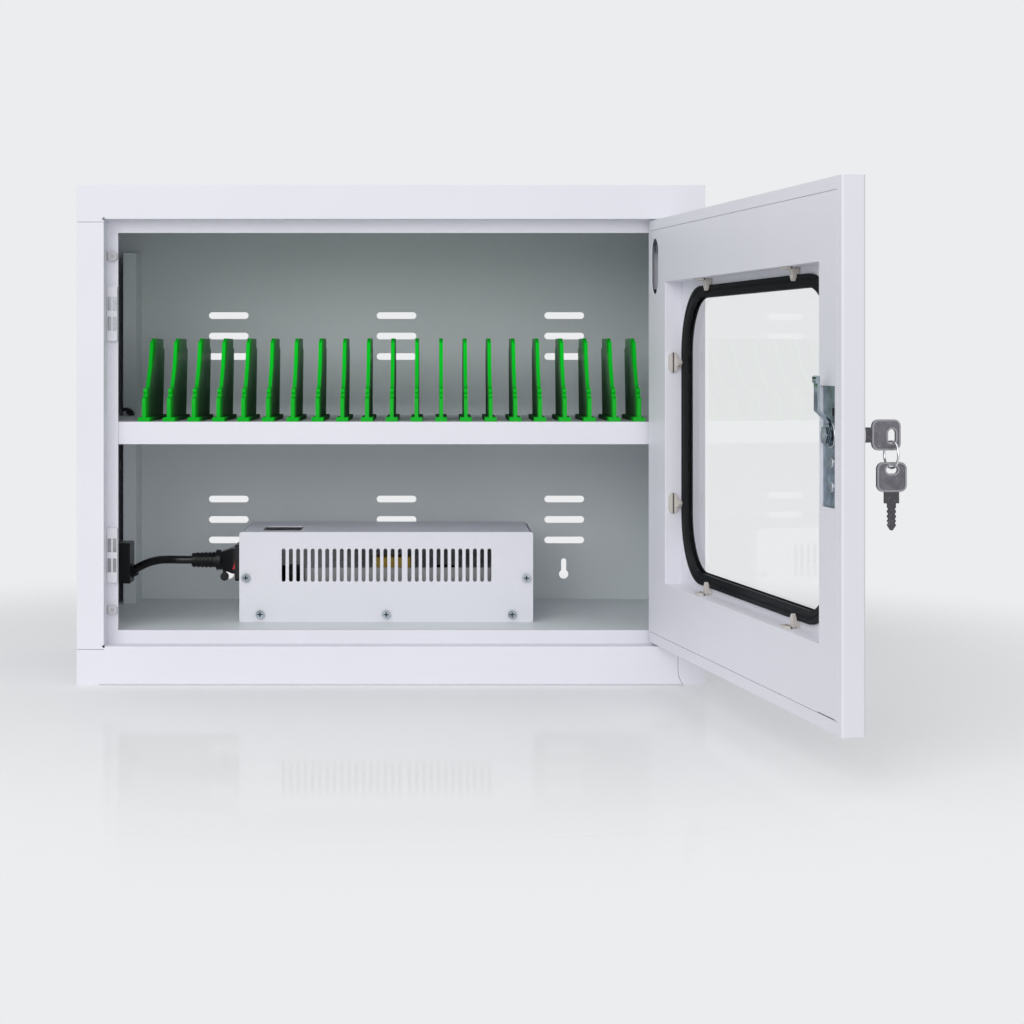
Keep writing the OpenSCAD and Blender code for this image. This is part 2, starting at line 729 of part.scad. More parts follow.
module hinge_bracket() color("#b9bcc2") open_door() difference() {
    union() {
        block([door_x1 - sheet - bracket_w, door_x1 - sheet], [skin_y, inner_y0 - fit_gap],
              [door_z1 - bracket_drop, door_z1 - bracket_drop + sheet]);
        block([door_x1 - 2 * sheet, door_x1 - sheet], [skin_y, inner_y0 - fit_gap],
              [door_z1 - bracket_drop - bracket_h, door_z1 - bracket_drop]);
    }
    translate([pivot_x, pivot_y, door_z1 - bracket_drop - 1]) cylinder(h = sheet + 2, r = pin_hole_r);
}

// ---- Door pans ----

// Plan outline of the door, with round bends at its upright edges
module door_plan()
    translate([0, (door_y0 + door_y1) / 2]) rounded(door_x1 - door_x0, door_t, bend_r);

module door_outer() color("#dadbe5") open_door() difference() {
    translate([0, 0, door_z0]) linear_extrude(door_z1 - door_z0) door_plan();
    block([door_x0 + sheet, door_x1 - sheet], [skin_y, inner_y1], [door_z0 + sheet, door_z1 - sheet]);
    extrude_y(inner_y1 - 1, door_y1 + 1)
        rect([door_x0 + door_flange, door_x1 - door_flange_hinge],
             [door_z0 + door_flange, door_z1 - door_flange]);
    extrude_y(door_y0 - 1, skin_y + 1) translate([recess_cx, recess_cz])
        rounded(seal_wide - 2 * seal_groove, seal_high - 2 * seal_groove, seal_r - seal_groove);
    rod_y(lock_x, lock_z, lock_r + fit_gap, door_y0 - 1, skin_y + 1);
    for (z = [door_z0, door_z1 - sheet])
        translate([pivot_x, pivot_y, z - 1]) cylinder(h = sheet + 2, r = pin_hole_r);
}

// The inner pan: its field lies flush with the return flange, its rim steps in behind it
module door_inner() color("#d3d5df") open_door() difference() {
    union() {
        difference() {
            block([door_x0 + sheet, door_x1 - sheet], [inner_y0, inner_y1],
                  [door_z0 + sheet, door_z1 - sheet]);
            block([field_x[0] + sheet, field_x[1] - sheet], [inner_y0 - 1, inner_y1 + 1],
                  [field_z[0] + sheet, field_z[1] - sheet]);
        }
        block(field_x, [inner_y1, door_y1], field_z);
        block([recess_x0 - sheet, recess_x1 + sheet], [skin_y, inner_y1],
              [recess_z0 - sheet, recess_z1 + sheet]);
    }
    block([recess_x0, recess_x1], [skin_y - 1, door_y1 + 1], [recess_z0, recess_z1]);
    // the lock plate shows from the window recess's wall on
    extrude_y(inner_y0 - 1, door_y1 + 1)
        rect([door_x0 + plate_cut_edge, recess_x0 - sheet],
             [plate_z0() + plate_cut, plate_z0() + plate_h - plate_cut]);
    // access to the upper hinge pin
    extrude_y(inner_y0 - 1, door_y1 + 1)
        translate([door_x1 - access_inset, door_z1 - access_drop]) obround(access_w, access_h);
    // drain slot near the free corner
    block([door_x0 + 13, door_x0 + 46], [inner_y0 - 1, door_y1 + 1],
          [door_z0 + door_flange - 0.4, door_z0 + door_flange + 0.8]);
}

function plate_z0() = lock_z - plate_drop - plate_h / 2;

// ---- Window ----

module window_pane() color([0.9, 0.93, 0.95, 0.35]) open_door()
    extrude_y(pane_y0, pane_y0 + pane_t) translate([recess_cx, recess_cz])
        rounded(seal_wide - 2 * (seal_w - seal_groove), seal_high - 2 * (seal_w - seal_groove),
                seal_r - seal_w + seal_groove);

module window_seal() color("#141516") open_door() translate([recess_cx, 0, recess_cz]) difference() {
    extrude_y(door_y0 - seal_out, skin_y + seal_in) difference() {
        rounded(seal_wide, seal_high, seal_r);
        rounded(seal_wide - 2 * seal_w, seal_high - 2 * seal_w, seal_r - seal_w);
    }
    extrude_y(door_y0, skin_y) difference() {
        rounded(seal_wide + 2, seal_high + 2, seal_r + 1);
        rounded(seal_wide - 2 * seal_groove, seal_high - 2 * seal_groove, seal_r - seal_groove);
    }
    extrude_y(pane_y0, pane_y0 + pane_t)
        rounded(seal_wide - 2 * (seal_w - seal_groove), seal_high - 2 * (seal_w - seal_groove),
                seal_r - seal_w + seal_groove);
    extrude_y(skin_y + seal_in - seal_channel_t, skin_y + seal_in + 1) difference() {
        rounded(seal_wide - 2 * seal_channel[0], seal_high - 2 * seal_channel[0], seal_r - seal_channel[0]);
        rounded(seal_wide - 2 * seal_channel[1], seal_high - 2 * seal_channel[1], seal_r - seal_channel[1]);
    }
}

// A window clip, its base on the plane Z = 0 and its finger pointing up over the seal
module window_clip() {
    seal_y = skin_y + seal_in;
    base_y = inner_y0 - clip_base_d / 2;
    difference() {
        translate([0, base_y, 0]) linear_extrude(clip_base_t) obround(clip_base_w, clip_base_d);
        block([-clip_base_w, clip_base_w], span(base_y, clip_groove), span(clip_base_t, clip_groove));
    }
    block([-clip_body_w / 2, clip_body_w / 2], [skin_y, seal_y + clip_finger_t],
          [0, seal_gap - loose_gap]);
    extrude_y(seal_y, seal_y + clip_finger_t)
        polygon([[-clip_body_w / 2, 0], [clip_body_w / 2, 0],
                 [clip_body_w / 2, seal_gap + clip_over - clip_tip], [0, seal_gap + clip_over],
                 [-clip_body_w / 2, seal_gap + clip_over - clip_tip]]);
}

module window_clips() color("#d6d3ce") open_door() translate([recess_cx, 0, recess_cz]) {
    half_x = (recess_x1 - recess_x0) / 2;
    half_z = (recess_z1 - recess_z0) / 2;
    for (s = [-1, 1]) {
        translate([s * clip_x, 0, -half_z]) window_clip();
        translate([s * clip_x, 0, half_z]) rotate([0, 180, 0]) window_clip();
        translate([-half_x, 0, s * clip_z]) rotate([0, 90, 0]) window_clip();
        translate([half_x, 0, s * clip_z]) rotate([0, -90, 0]) window_clip();
    }
}

// ---- Lock ----

module lock_housing() color("#a9acb2") open_door() difference() {
    union() {
        rod_y(lock_x, lock_z, boss_r, lock_face_y, door_y0);
        rod_y(lock_x, lock_z, lock_flange_r, door_y0 - lock_flange_t, door_y0);
        rod_y(lock_x, lock_z, lock_r, door_y0, lock_end_y);
    }
    rod_y(lock_x, lock_z, plug_r + run_gap, lock_face_y - 1, lock_end_y + 1);
}

module lock_plate() color("#8fa3ad") open_door() {
    extrude_y(plate_y0, inner_y0) difference() {
        rect([plate_x0, plate_x0 + plate_w], [plate_z0(), plate_z0() + plate_h]);
        translate([lock_x, lock_z]) {
            circle(lock_r + fit_gap);
            for (dz = rivet_dz) translate([rivet_dx, dz]) circle(rivet_shank_r, $fn = 24);
            rect(plate_slot_x, plate_slot_z);
        }
    }
    extrude_y(inner_y0, inner_y0 + 1) translate([lock_x, lock_z]) rect(ridge_x, ridge_z);
}

module lock_rivets() color("#c4c8cc") open_door()
    for (dz = rivet_dz) translate([lock_x + rivet_dx, 0, lock_z + dz]) {
        rod_y(0, 0, rivet_shank_r, plate_y0, inner_y0, $fn = 24);
        rod_y(0, 0, rivet_r, inner_y0, inner_y0 + rivet_head_t);
        rod_y(0, 0, rivet_r, plate_y0 - 1, plate_y0);
    }

module lock_plug() color("#b8babf") open_door() translate([lock_x, 0, lock_z]) difference() {
    union() {
        rod_y(0, 0, plug_r, lock_face_y + 0.2, lever_y0);
        block([-tail_w / 2, tail_w / 2], [lever_y0, lever_y0 + lever_t], [-tail_w / 2, tail_w / 2]);
        rod_y(0, 0, stud_r, lever_y0 + lever_t, lever_y0 + lever_t + nut_t);
    }
    block([-keyway_t / 2, keyway_t / 2], [lock_face_y - 1, lock_face_y + keyway_l],
          [-keyway_h / 2, keyway_h / 2]);
}

// The latch lever: a hub, a crank past the stop lip, and a thicker rounded tip
module latch_lever() color("#93a4ac") open_door() translate([lock_x, 0, lock_z]) difference() {
    union() {
        rod_y(0, 0, lever_hub_r, lever_y0, lever_y0 + lever_t);
        extrude_x(-lever_w / 2, lever_w / 2)
            polygon([[lever_y0, 0], [lever_y0, lever_crank_r - lever_crank_l], [lever_far_y, lever_crank_r],
                     [lever_far_y, lever_reach - lever_tip_r], [lever_far_y + lever_tip_r, lever_reach],
                     [lever_far_y + lever_tip_t - lever_tip_r, lever_reach],
                     [lever_far_y + lever_tip_t, lever_reach - lever_tip_r],
                     [lever_far_y + lever_tip_t, lever_reach - lever_tip_l + 1],
                     [lever_far_y + lever_t, lever_reach - lever_tip_l],
                     [lever_far_y + lever_t, lever_crank_r - 0.6],
                     [lever_y0 + lever_t, lever_crank_r - lever_crank_l - 0.6],
                     [lever_y0 + lever_t, 0]]);
    }
    block([-tail_w / 2 - run_gap, tail_w / 2 + run_gap], [lever_y0 - 1, lever_y0 + lever_t + 1],
          [-tail_w / 2 - run_gap, tail_w / 2 + run_gap]);
}

module lever_nut() color("#a4afb5") open_door() translate([lock_x, 0, lock_z]) difference() {
    translate([0, lever_y0 + lever_t + nut_t, 0]) rotate([90, 0, 0])
        cylinder(h = nut_t, d = nut_af / cos(30), $fn = 6);
    rod_y(0, 0, stud_r + run_gap, lever_y0 + lever_t - 1, lever_y0 + lever_t + nut_t + 1);
}

// ---- Keys ----

// A key drawn flat, its bow's foot on Y = 0 and its blade towards +Y; hole is its outline
module key_solid(hole_len_y, hole_len_z, hole_y0, hole_z0) difference() {
    union() {
        extrude_x(-bow_t / 2, bow_t / 2) translate([-bow_w / 2, 0]) rounded(bow_w, bow_h, bow_r);
        block([-blade_t / 2, blade_t / 2], [-1, collar_l], [-collar_h / 2, collar_h / 2]);
        extrude_x(-blade_t / 2, blade_t / 2) blade_outline();
    }
    for (s = [-1, 1]) extrude_x(s * bow_t / 2 - bow_dish, s * bow_t / 2 + bow_dish) difference() {
        translate([-bow_w / 2, 0]) rounded(bow_w - 2 * bow_rim, bow_h - 2 * bow_rim, bow_r - bow_rim);
        translate([hole_y0, hole_z0]) obround(hole_len_y + 2 * bow_rim, hole_len_z + 2 * bow_rim);
    }
    extrude_x(-bow_t, bow_t) translate([hole_y0, hole_z0]) obround(hole_len_y, hole_len_z);
}

// Blade of a key, with bites on both edges and a pointed tip
module blade_outline() {
    tip = collar_l + blade_l;
    bites = [3.5, 6.5, 9.5, 12];
    difference() {
        polygon([[collar_l - 1, -blade_h / 2], [tip - 3, -blade_h / 2], [tip, -0.6], [tip, 0.6],
                 [tip - 3, blade_h / 2], [collar_l - 1, blade_h / 2]]);
        for (b = bites, s = [-1, 1])
            translate([collar_l + b, s * (blade_h / 2 + 0.3)]) circle(0.9, $fn = 16);
    }
}

module key_in_lock() color("#6f7075") open_door() translate([lock_x, bow_y1, lock_z])
    key_solid(key_hole_w, key_hole_l, -key_hole_y, key_hole_z);

module key_ring() color("#c8c9cc") open_door()
    translate([lock_x, hole_y, (ring_top_z + ring_low_z) / 2])
        rotate([0, 0, ring_turn]) rotate([90, 0, 0])
            rotate_extrude() translate([ring_r, 0]) circle(ring_wire / 2, $fn = 16);

// The spare key hangs blade down, its hole over the ring's lowest point
module spare_key() color("#6f7075") open_door() translate([lock_x, hole_y, spare_top_z - bow_w])
    rotate([-90, 0, 0])
        key_solid(spare_hole_h, spare_hole_w, -(bow_w - spare_rim - spare_hole_h / 2), 0);

// ---- Charger ----

module charger_screw_places() {
    for (s = [0, 1]) {
        translate([s == 0 ? charger_x + side_screw_inset : charger_x1 - side_screw_inset,
                   charger_y0, floor_z + side_screw_h]) children();
        translate([s == 0 ? charger_x + low_screw_inset : charger_x1 - low_screw_inset,
                   charger_y0, floor_z + low_screw_h]) children();
    }
    translate([(charger_x + charger_x1) / 2, charger_y0, floor_z + low_screw_h]) children();
}

module charger_tray() color("#cfd1d8") {
    cs = charger_sheet;
    y0 = charger_y0 + cs;
    y1 = charger_y1 - cs;
    difference() {
        block([charger_x, charger_x1], [y0, y1], [floor_z, charger_z1 - cs]);
        block([charger_x + cs, charger_x1 - cs], [y0 + cs, y1 - cs], [floor_z + cs, charger_z1]);
        block([charger_x + tray_flange, charger_x1 - tray_flange], [y0 - 1, y0 + cs + 1],
              [floor_z + tray_flange, charger_z1]);
        charger_screw_places() rod_y(0, 0, screw_hole_r, -1, 5, $fn = 24);
        block([charger_x - 1, charger_x + cs + 1],
              span(inlet_y, inlet_w - 2 * inlet_edge + 2 * fit_gap),
              span(inlet_z, inlet_h - 2 * inlet_edge + 2 * fit_gap));
    }
}

module charger_cover() color("#e0e1ea") {
    cs = charger_sheet;
    difference() {
        union() {
            extrude_y(charger_y0, charger_y0 + cs)
                translate([(charger_x + charger_x1) / 2, floor_z + charger_h / 2])
                    rounded(charger_w, charger_h, charger_r);
            block([charger_x + charger_r, charger_x1 - charger_r], [charger_y0, charger_y1],
                  [charger_z1 - cs, charger_z1]);
            block([charger_x + charger_r, charger_x1 - charger_r], [charger_y1 - cs, charger_y1],
                  [charger_z1 - 12, charger_z1 - cs]);
        }
        for (k = [0 : slots_left - 1]) vent_slot(slot_x0 + k * slot_pitch);
        for (k = [0 : slots_right - 1]) vent_slot(slot_x1 + k * slot_pitch);
        charger_screw_places() rod_y(0, 0, screw_hole_r, -1, 5, $fn = 24);
        translate([charger_x + outlet_inset + outlet_w / 2, charger_y0 + outlet_setback + outlet_d / 2,
                   charger_z1 - 3]) linear_extrude(5) rounded(outlet_w, outlet_d, 4);
    }
}

module vent_slot(x)
    extrude_y(charger_y0 - 1, charger_y0 + charger_sheet + 1) translate([x, slot_cz])
        obround(slot_w, slot_h, $fn = 16);

module charger_screws() color("#b9bec4") charger_screw_places() difference() {
    union() {
        rod_y(0, 0, screw_r, -0.5, screw_l, $fn = 24);
        rod_y(0, 0, screw_head_r, -screw_head_t, 0);
    }
    for (a = [0, 90]) rotate([0, a, 0])
        block([-2, 2], [-screw_head_t - 1, -screw_head_t + 1.2], [-0.5, 0.5]);
}

// Circuit board on four posts, with the transformer, the heat sink and two capacitors
module charger_supply() {
    bx = [charger_x + 30, charger_x1 - 8];
    by = [charger_y0 + 16, charger_y1 - 8];
    z0 = floor_z + charger_sheet;
    bz = floor_z + board_h;
    color("#27513a") block(bx, by, [bz, bz + board_t]);
    color("#c9c9c9") for (x = [bx[0] + 5, bx[1] - 5], y = [by[0] + 5, by[1] - 5])
        translate([x, y, z0]) cylinder(h = bz - z0, r = 3);
    top = bz + board_t;
    color("#d9b426") block([bx[0] + 80, bx[0] + 112], [by[0] + 6, by[0] + 36], [top, top + 38]);
    color("#b9bac2") block([bx[0] + 24, bx[1] - 4], [by[0], by[0] + 2], [top, top + 30]);
    color("#2b2b2e") for (x = [bx[0] + 8, bx[0] + 136])
        translate([x + 4, by[0] + 20, top]) cylinder(h = 30, r = 9);
}

module charger_inlet() color("#17181a") difference() {
    union() {
        extrude_x(charger_x - inlet_flange_t, charger_x) translate([inlet_y, inlet_z])
            rounded(inlet_w, inlet_h, 2.5);
        block([charger_x, charger_x + inlet_body_l],
              span(inlet_y, inlet_w - 2 * inlet_edge), span(inlet_z, inlet_h - 2 * inlet_edge));
    }
    block([charger_x - inlet_flange_t - 1, charger_x - inlet_flange_t + socket_l],
          [socket_y - socket_w / 2, socket_y + socket_w / 2],
          [inlet_z - socket_h / 2, inlet_z + socket_h / 2]);
    block([charger_x - inlet_flange_t - 1, charger_x + 8],
          [switch_y - switch_w / 2 - loose_gap, switch_y + switch_w / 2 + loose_gap],
          [inlet_z - switch_room, inlet_z + switch_room]);
}

// A rocker with its lower end pressed out
module charger_switch() color("#c8202b") translate([switch_x, 0, inlet_z]) rotate([0, switch_tilt, 0])
    extrude_y(switch_y - switch_w / 2, switch_y + switch_w / 2)
        polygon([[1.2, -switch_h / 2 + 1], [1.2, switch_h / 2 - 1], [-3.6, switch_h / 2], [-2.6, 0],
                 [-3.6, -switch_h / 2]]);

// ---- Mains inlet and lead ----

module mains_inlet() color("#131415") difference() {
    union() {
        block([-half_w - wall_flange_t, -half_w],
              span(wall_inlet_y, wall_inlet_w + 2 * wall_flange),
              span(wall_inlet_z, wall_inlet_h + 2 * wall_flange));
        block([-half_w, lead_start[0] - 3], span(wall_inlet_y, wall_inlet_w),
              span(wall_inlet_z, wall_inlet_h));
        translate(lead_start) aim(heading(lead_route, 0)) translate([0, 0, -lead_boss_l])
            cylinder(h = lead_boss_l, r = lead_boss_r);
    }
    block([-half_w - wall_flange_t - 1, -half_w - wall_flange_t + 15],
          [wall_inlet_y - socket_h / 2, wall_inlet_y + socket_h / 2],
          [wall_inlet_z - socket_w / 2, wall_inlet_z + socket_w / 2]);
}

module mains_lead() color("#101112") tube(
    [for (k = lead_rings) lead_route[k]], lead_d / 2, lead_sides);

// The connector on the lead: ribbed sleeve, collar, body, nose in the socket, and a lug below
module lead_connector() color("#131415") translate([0, lead_end[1], lead_end[2]]) {
    x0 = lead_end[0];
    x1 = x0 + sleeve_l;
    x2 = x1 + ring_collar_l;
    x3 = charger_x - inlet_flange_t;
    translate([x0, 0, 0]) rotate([0, 90, 0]) cylinder(h = sleeve_l, r1 = sleeve_r[0], r2 = sleeve_r[1]);
    translate([x1, 0, 0]) rotate([0, 90, 0]) cylinder(h = ring_collar_l, r = ring_collar_r);
    intersection() {
        extrude_y(-plug_body_w / 2, plug_body_w / 2)
            polygon([[x2, -plug_body_h[0] / 2], [x3 - 4, -plug_body_h[1] / 2], [x3, -plug_body_h[1] / 2],
                     [x3, plug_body_h[1] / 2], [x3 - 4, plug_body_h[1] / 2], [x2, plug_body_h[0] / 2]]);
        translate([0, 0, -20]) linear_extrude(40)
            polygon([[x2, -plug_body_h[0] / 2], [x3 - 4, -plug_body_w / 2], [x3, -plug_body_w / 2],
                     [x3, plug_body_w / 2], [x3 - 4, plug_body_w / 2], [x2, plug_body_h[0] / 2]]);
    }
    block([x3, x3 + socket_l - 1],
          span(0, socket_w - 2 * loose_gap), span(0, socket_h - 2 * loose_gap));
    translate([x3 - 11.5, 0, -plug_body_h[1] / 2 - 3.6]) {
        rod_y(0, 0, lug_r, -lug_t / 2, lug_t / 2);
        block([-1.5, 1.5], [-lug_t / 2, lug_t / 2], [0, 7]);
    }
}

// ---- Swept tubes ----

function unit(v) = v / norm(v);

// Direction of a route at point k
function heading(route, k) =
    let (last = len(route) - 1)
    k == 0 ? unit(route[1] - route[0])
    : k == last ? unit(route[last] - route[last - 1])
    : unit(unit(route[k + 1] - route[k]) + unit(route[k] - route[k - 1]));

// Turns +Z onto a direction
module aim(d) rotate([0, acos(d[2]), atan2(d[1], d[0])]) children();

// A direction square to h, carried over from the last ring
function carried(side, h) = unit(side - h * (side * h));

// One closed tube of radius r with n sides along a route
module tube(route, r, n) {
    count = len(route);
    frames = tube_frames(route, count - 1);
    points = [for (k = [0 : count - 1], j = [0 : n - 1])
        let (a = 360 * j / n)
        route[k] + r * (cos(a) * frames[k] + sin(a) * cross(heading(route, k), frames[k]))];
    walls = [for (k = [0 : count - 2], j = [0 : n - 1], half = [0, 1])
        let (a = k * n + j, b = k * n + (j + 1) % n)
        half == 0 ? [a, a + n, b] : [b, a + n, b + n]];
    caps = [for (j = [1 : n - 2]) [0, j, j + 1]];
    ends = [for (j = [1 : n - 2]) [(count - 1) * n, (count - 1) * n + j + 1, (count - 1) * n + j]];
    polyhedron(points, concat(walls, caps, ends));
}

// The side directions of all rings up to the last one
function tube_frames(route, last) =
    last == 0 ? [carried([0, 0, 1], heading(route, 0))]
    : let (before = tube_frames(route, last - 1))
      concat(before, [carried(before[last - 1], heading(route, last))]);

// ---- What is drawn ----

top_panel();
bottom_panel();
floor_panel();
side_panel_left();
side_panel_right();
back_panel();
shelf();
uprights();
shelf_clips();
catch_housings();
catch_poles();
door_bumpers();
hinge_pin_lower();
mains_inlet();
mains_lead();
lead_connector();
charger_tray();
charger_cover();
charger_screws();
charger_supply();
charger_inlet();
charger_switch();
door_outer();
door_inner();
window_pane();
window_seal();
window_clips();
lock_housing();
lock_plate();
lock_rivets();
hinge_bracket();
hinge_pin_upper();
hinge_spring();
lock_plug();
latch_lever();
lever_nut();
key_in_lock();
key_ring();
spare_key();
for (i = [0 : divider_count - 1])
    divider(i);
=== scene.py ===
"""Looks of the cell phone locker box: coated sheet steel, green dividers, glazed door, charger.

Every length is in metres. X runs right, Y runs back and Z runs up, as in the CAD model, whose
pieces are dressed here: each gets softened edges and a finish, and the mains lead is laid as a
real cord.
"""

import json
import logging
import math
from dataclasses import dataclass, field
from enum import Enum
from typing import Iterable, Sequence

import bmesh
import bpy
from mathutils import Matrix, Vector

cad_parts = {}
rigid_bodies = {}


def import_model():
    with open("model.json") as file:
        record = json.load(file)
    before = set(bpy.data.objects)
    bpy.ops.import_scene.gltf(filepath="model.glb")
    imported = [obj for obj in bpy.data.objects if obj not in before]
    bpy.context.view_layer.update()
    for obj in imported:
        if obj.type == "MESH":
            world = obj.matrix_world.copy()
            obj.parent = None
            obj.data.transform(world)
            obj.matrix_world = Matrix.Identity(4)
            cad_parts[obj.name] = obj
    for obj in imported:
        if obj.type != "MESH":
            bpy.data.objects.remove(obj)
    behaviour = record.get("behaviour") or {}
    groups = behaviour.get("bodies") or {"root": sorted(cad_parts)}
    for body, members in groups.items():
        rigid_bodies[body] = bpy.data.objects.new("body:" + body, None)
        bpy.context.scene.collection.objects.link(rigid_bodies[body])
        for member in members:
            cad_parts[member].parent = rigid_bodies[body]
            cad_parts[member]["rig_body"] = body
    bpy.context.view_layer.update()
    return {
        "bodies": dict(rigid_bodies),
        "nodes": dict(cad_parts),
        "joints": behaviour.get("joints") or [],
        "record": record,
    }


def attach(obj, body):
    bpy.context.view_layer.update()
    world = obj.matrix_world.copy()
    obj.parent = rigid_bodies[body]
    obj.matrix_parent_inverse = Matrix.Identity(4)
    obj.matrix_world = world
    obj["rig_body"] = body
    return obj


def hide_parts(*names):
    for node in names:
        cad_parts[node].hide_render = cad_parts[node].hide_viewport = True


MM = 0.001
# The photograph's width and height, in pixels.
PHOTO_SIDE = 1024
# How far the door stands open at rest.
DOOR_OPEN = math.radians(99.1)
# Most values of a noise lie between these two.
NOISE_SPAN = (0.3, 0.7)
# Points of a CAD mesh that are closer than this are one point.
MERGE_BELOW = 0.002 * MM
# Faces of a CAD mesh that bend less than this are one face.
FLAT_BELOW = math.radians(0.2)
log = logging.getLogger("locker")

Colour = tuple[float, float, float]
Point = tuple[float, float, float]


class Slot(Enum):
    """The record's material slots; each finish names one."""

    POWDER = "powder_coat"
    GREEN = "green_plastic"
    BLACK = "black_plastic"
    CATCH = "catch_plastic"
    BUMPER = "bumper_plastic"
    CLIP = "clip_plastic"
    RED = "red_plastic"
    SEAL = "seal_rubber"
    SHEATH = "lead_sheath"
    PANE = "clear_pane"
    ZINC = "zinc_steel"
    ZINC_PLATE = "zinc_plate"
    SPRING = "spring_steel"
    RING = "bright_steel"
    KEY = "dark_nickel"
    BOARD = "circuit_board"


# ---- Shader maths ----


class Value:
    """A number on a node's output, with the arithmetic of Python."""

    def __init__(self, graph: "Graph", socket: bpy.types.NodeSocket) -> None:
        """Wraps a socket.

        Args:
            graph: The graph that the socket's node belongs to.
            socket: The output socket that carries the number.
        """
        self.graph = graph
        self.socket = socket

    def _math(self, operation: str, *values: "Value | float") -> "Value":
        """Adds a Math node.

        Args:
            operation: The Math node's operation.
            values: Its inputs in order, sockets or numbers.

        Returns:
            The node's result.
        """
        node = self.graph.node("ShaderNodeMath", dict(enumerate(values)), operation=operation)
        return Value(self.graph, node.outputs[0])

    def __add__(self, other: "Value | float") -> "Value":
        """Adds."""
        return self._math("ADD", self, other)

    def __sub__(self, other: "Value | float") -> "Value":
        """Subtracts other from this."""
        return self._math("SUBTRACT", self, other)

    def __mul__(self, other: "Value | float") -> "Value":
        """Multiplies."""
        return self._math("MULTIPLY", self, other)

    def __pow__(self, other: "Value | float") -> "Value":
        """Raises to a power."""
        return self._math("POWER", self, other)

    def __abs__(self) -> "Value":
        """The size without its sign."""
        return self._math("ABSOLUTE", self)

    def larger(self, other: "Value | float") -> "Value":
        """The larger of this and other."""
        return self._math("MAXIMUM", self, other)

    def nearest(self, pitch: float) -> "Value":
        """The distance to the nearest multiple of a pitch."""
        return self._math("PINGPONG", self, pitch / 2)

    def ramp(
        self, low: float, high: float, out_low: float = 0.0, out_high: float = 1.0
    ) -> "Value":
        """Maps a range smoothly onto another.

        Args:
            low: The value that gives out_low.
            high: The value that gives out_high.
            out_low: The lowest result.
            out_high: The highest result.

        Returns:
            The mapped value.
        """
        node = self.graph.node(
            "ShaderNodeMapRange",
            {
                "Value": self,
                "From Min": low,
                "From Max": high,
                "To Min": out_low,
                "To Max": out_high,
            },
            interpolation_type="SMOOTHSTEP",
            clamp=True,
        )
        return Value(self.graph, node.outputs["Result"])


class Graph:
    """The node tree of one material or world."""

    def __init__(self, tree: bpy.types.NodeTree) -> None:
        """Empties a tree.

        Args:
            tree: The tree to build in.
        """
        self.tree = tree
        tree.nodes.clear()

    def node(self, kind: str, inputs: dict | None = None, **settings: object) -> bpy.types.Node:
        """Adds a node.

        Args:
            kind: The node's type.
            inputs: Its sockets' values or links, by name or number.
            settings: Its attributes, set before its sockets.

        Returns:
            The node.
        """
        made = self.tree.nodes.new(kind)
        for name, value in settings.items():
            setattr(made, name, value)
        for key, value in (inputs or {}).items():
            source = value.socket if isinstance(value, Value) else value
            if isinstance(source, bpy.types.NodeSocket):
                self.tree.links.new(source, made.inputs[key])
            else:
                made.inputs[key].default_value = source
        return made

    def place(self) -> bpy.types.NodeSocket:
        """The Object coordinates."""
        return self.node("ShaderNodeTexCoord").outputs["Object"]

    def noise(
        self, scale: float, detail: float = 2.0, stretch: Sequence[float] = (1, 1, 1)
    ) -> Value:
        """Noise on Object coordinates.

        Args:
            scale: Cells to the metre.
            detail: Octaves.
            stretch: Scale along each axis before the noise.

        Returns:
            The noise, about 0.5.
        """
        mapping = self.node("ShaderNodeMapping", {"Vector": self.place(), "Scale": tuple(stretch)})
        made = self.node(
            "ShaderNodeTexNoise", {"Vector": mapping.outputs[0], "Scale": scale, "Detail": detail}
        )
        return Value(self, made.outputs["Fac"])

    def axis(self, name: str) -> Value:
        """One axis of the Object coordinates, X, Y or Z."""
        return Value(self, self.node("ShaderNodeSeparateXYZ", {0: self.place()}).outputs[name])

    def mix(self, factor: Value, first: Colour, second: Colour) -> bpy.types.NodeSocket:
        """A colour between two, by a factor from 0 to 1."""
        return self.blend(factor, (*first, 1.0), (*second, 1.0))

    def blend(self, factor: Value, first: object, second: object) -> bpy.types.NodeSocket:
        """Mixes two colours, given as sockets or as four numbers."""
        made = self.node(
            "ShaderNodeMix", {"Factor": factor, 6: first, 7: second}, data_type="RGBA"
        )
        return made.outputs[2]

    def bump(self, height: Value, strength: float, depth: float) -> bpy.types.NodeSocket:
        """A bumped normal.

        Args:
            height: The height from 0 to 1.
            strength: How much of the bump shows.
            depth: The height of 1, in metres.

        Returns:
            The normal's socket.
        """
        made = self.node(
            "ShaderNodeBump", {"Strength": strength, "Distance": depth, "Height": height}
        )
        return made.outputs[0]


# ---- Finishes ----


@dataclass(frozen=True)
class Finish:
    """What all finishes share: a name, a slot and a colour."""

    name: str
    slot: Slot
    tint: Colour

    def material(self) -> bpy.types.Material:
        """The finish's material, made once."""
        name = f"{self.name}_finish"
        made = bpy.data.materials.get(name)
        if made is None:
            made = bpy.data.materials.new(name)
            made.use_nodes = True
            made.diffuse_color = (*self.tint, 1.0)
            graph = Graph(made.node_tree)
            shader = self.shader(graph)
            graph.node("ShaderNodeOutputMaterial", {"Surface": shader})
        return made

    def shader(self, graph: Graph) -> bpy.types.NodeSocket:
        """Builds the surface in a graph and returns its shader socket."""
        raise NotImplementedError

    def darker(self, share: float) -> Colour:
        """The finish's colour, darker by a share."""
        return tuple(channel * (1.0 - share) for channel in self.tint)

    def mottled(self, graph: Graph, noise: Value, share: float) -> bpy.types.NodeSocket:
        """The finish's colour, darker by a share where a noise is low."""
        return graph.mix(noise.ramp(*NOISE_SPAN), self.darker(share), self.tint)


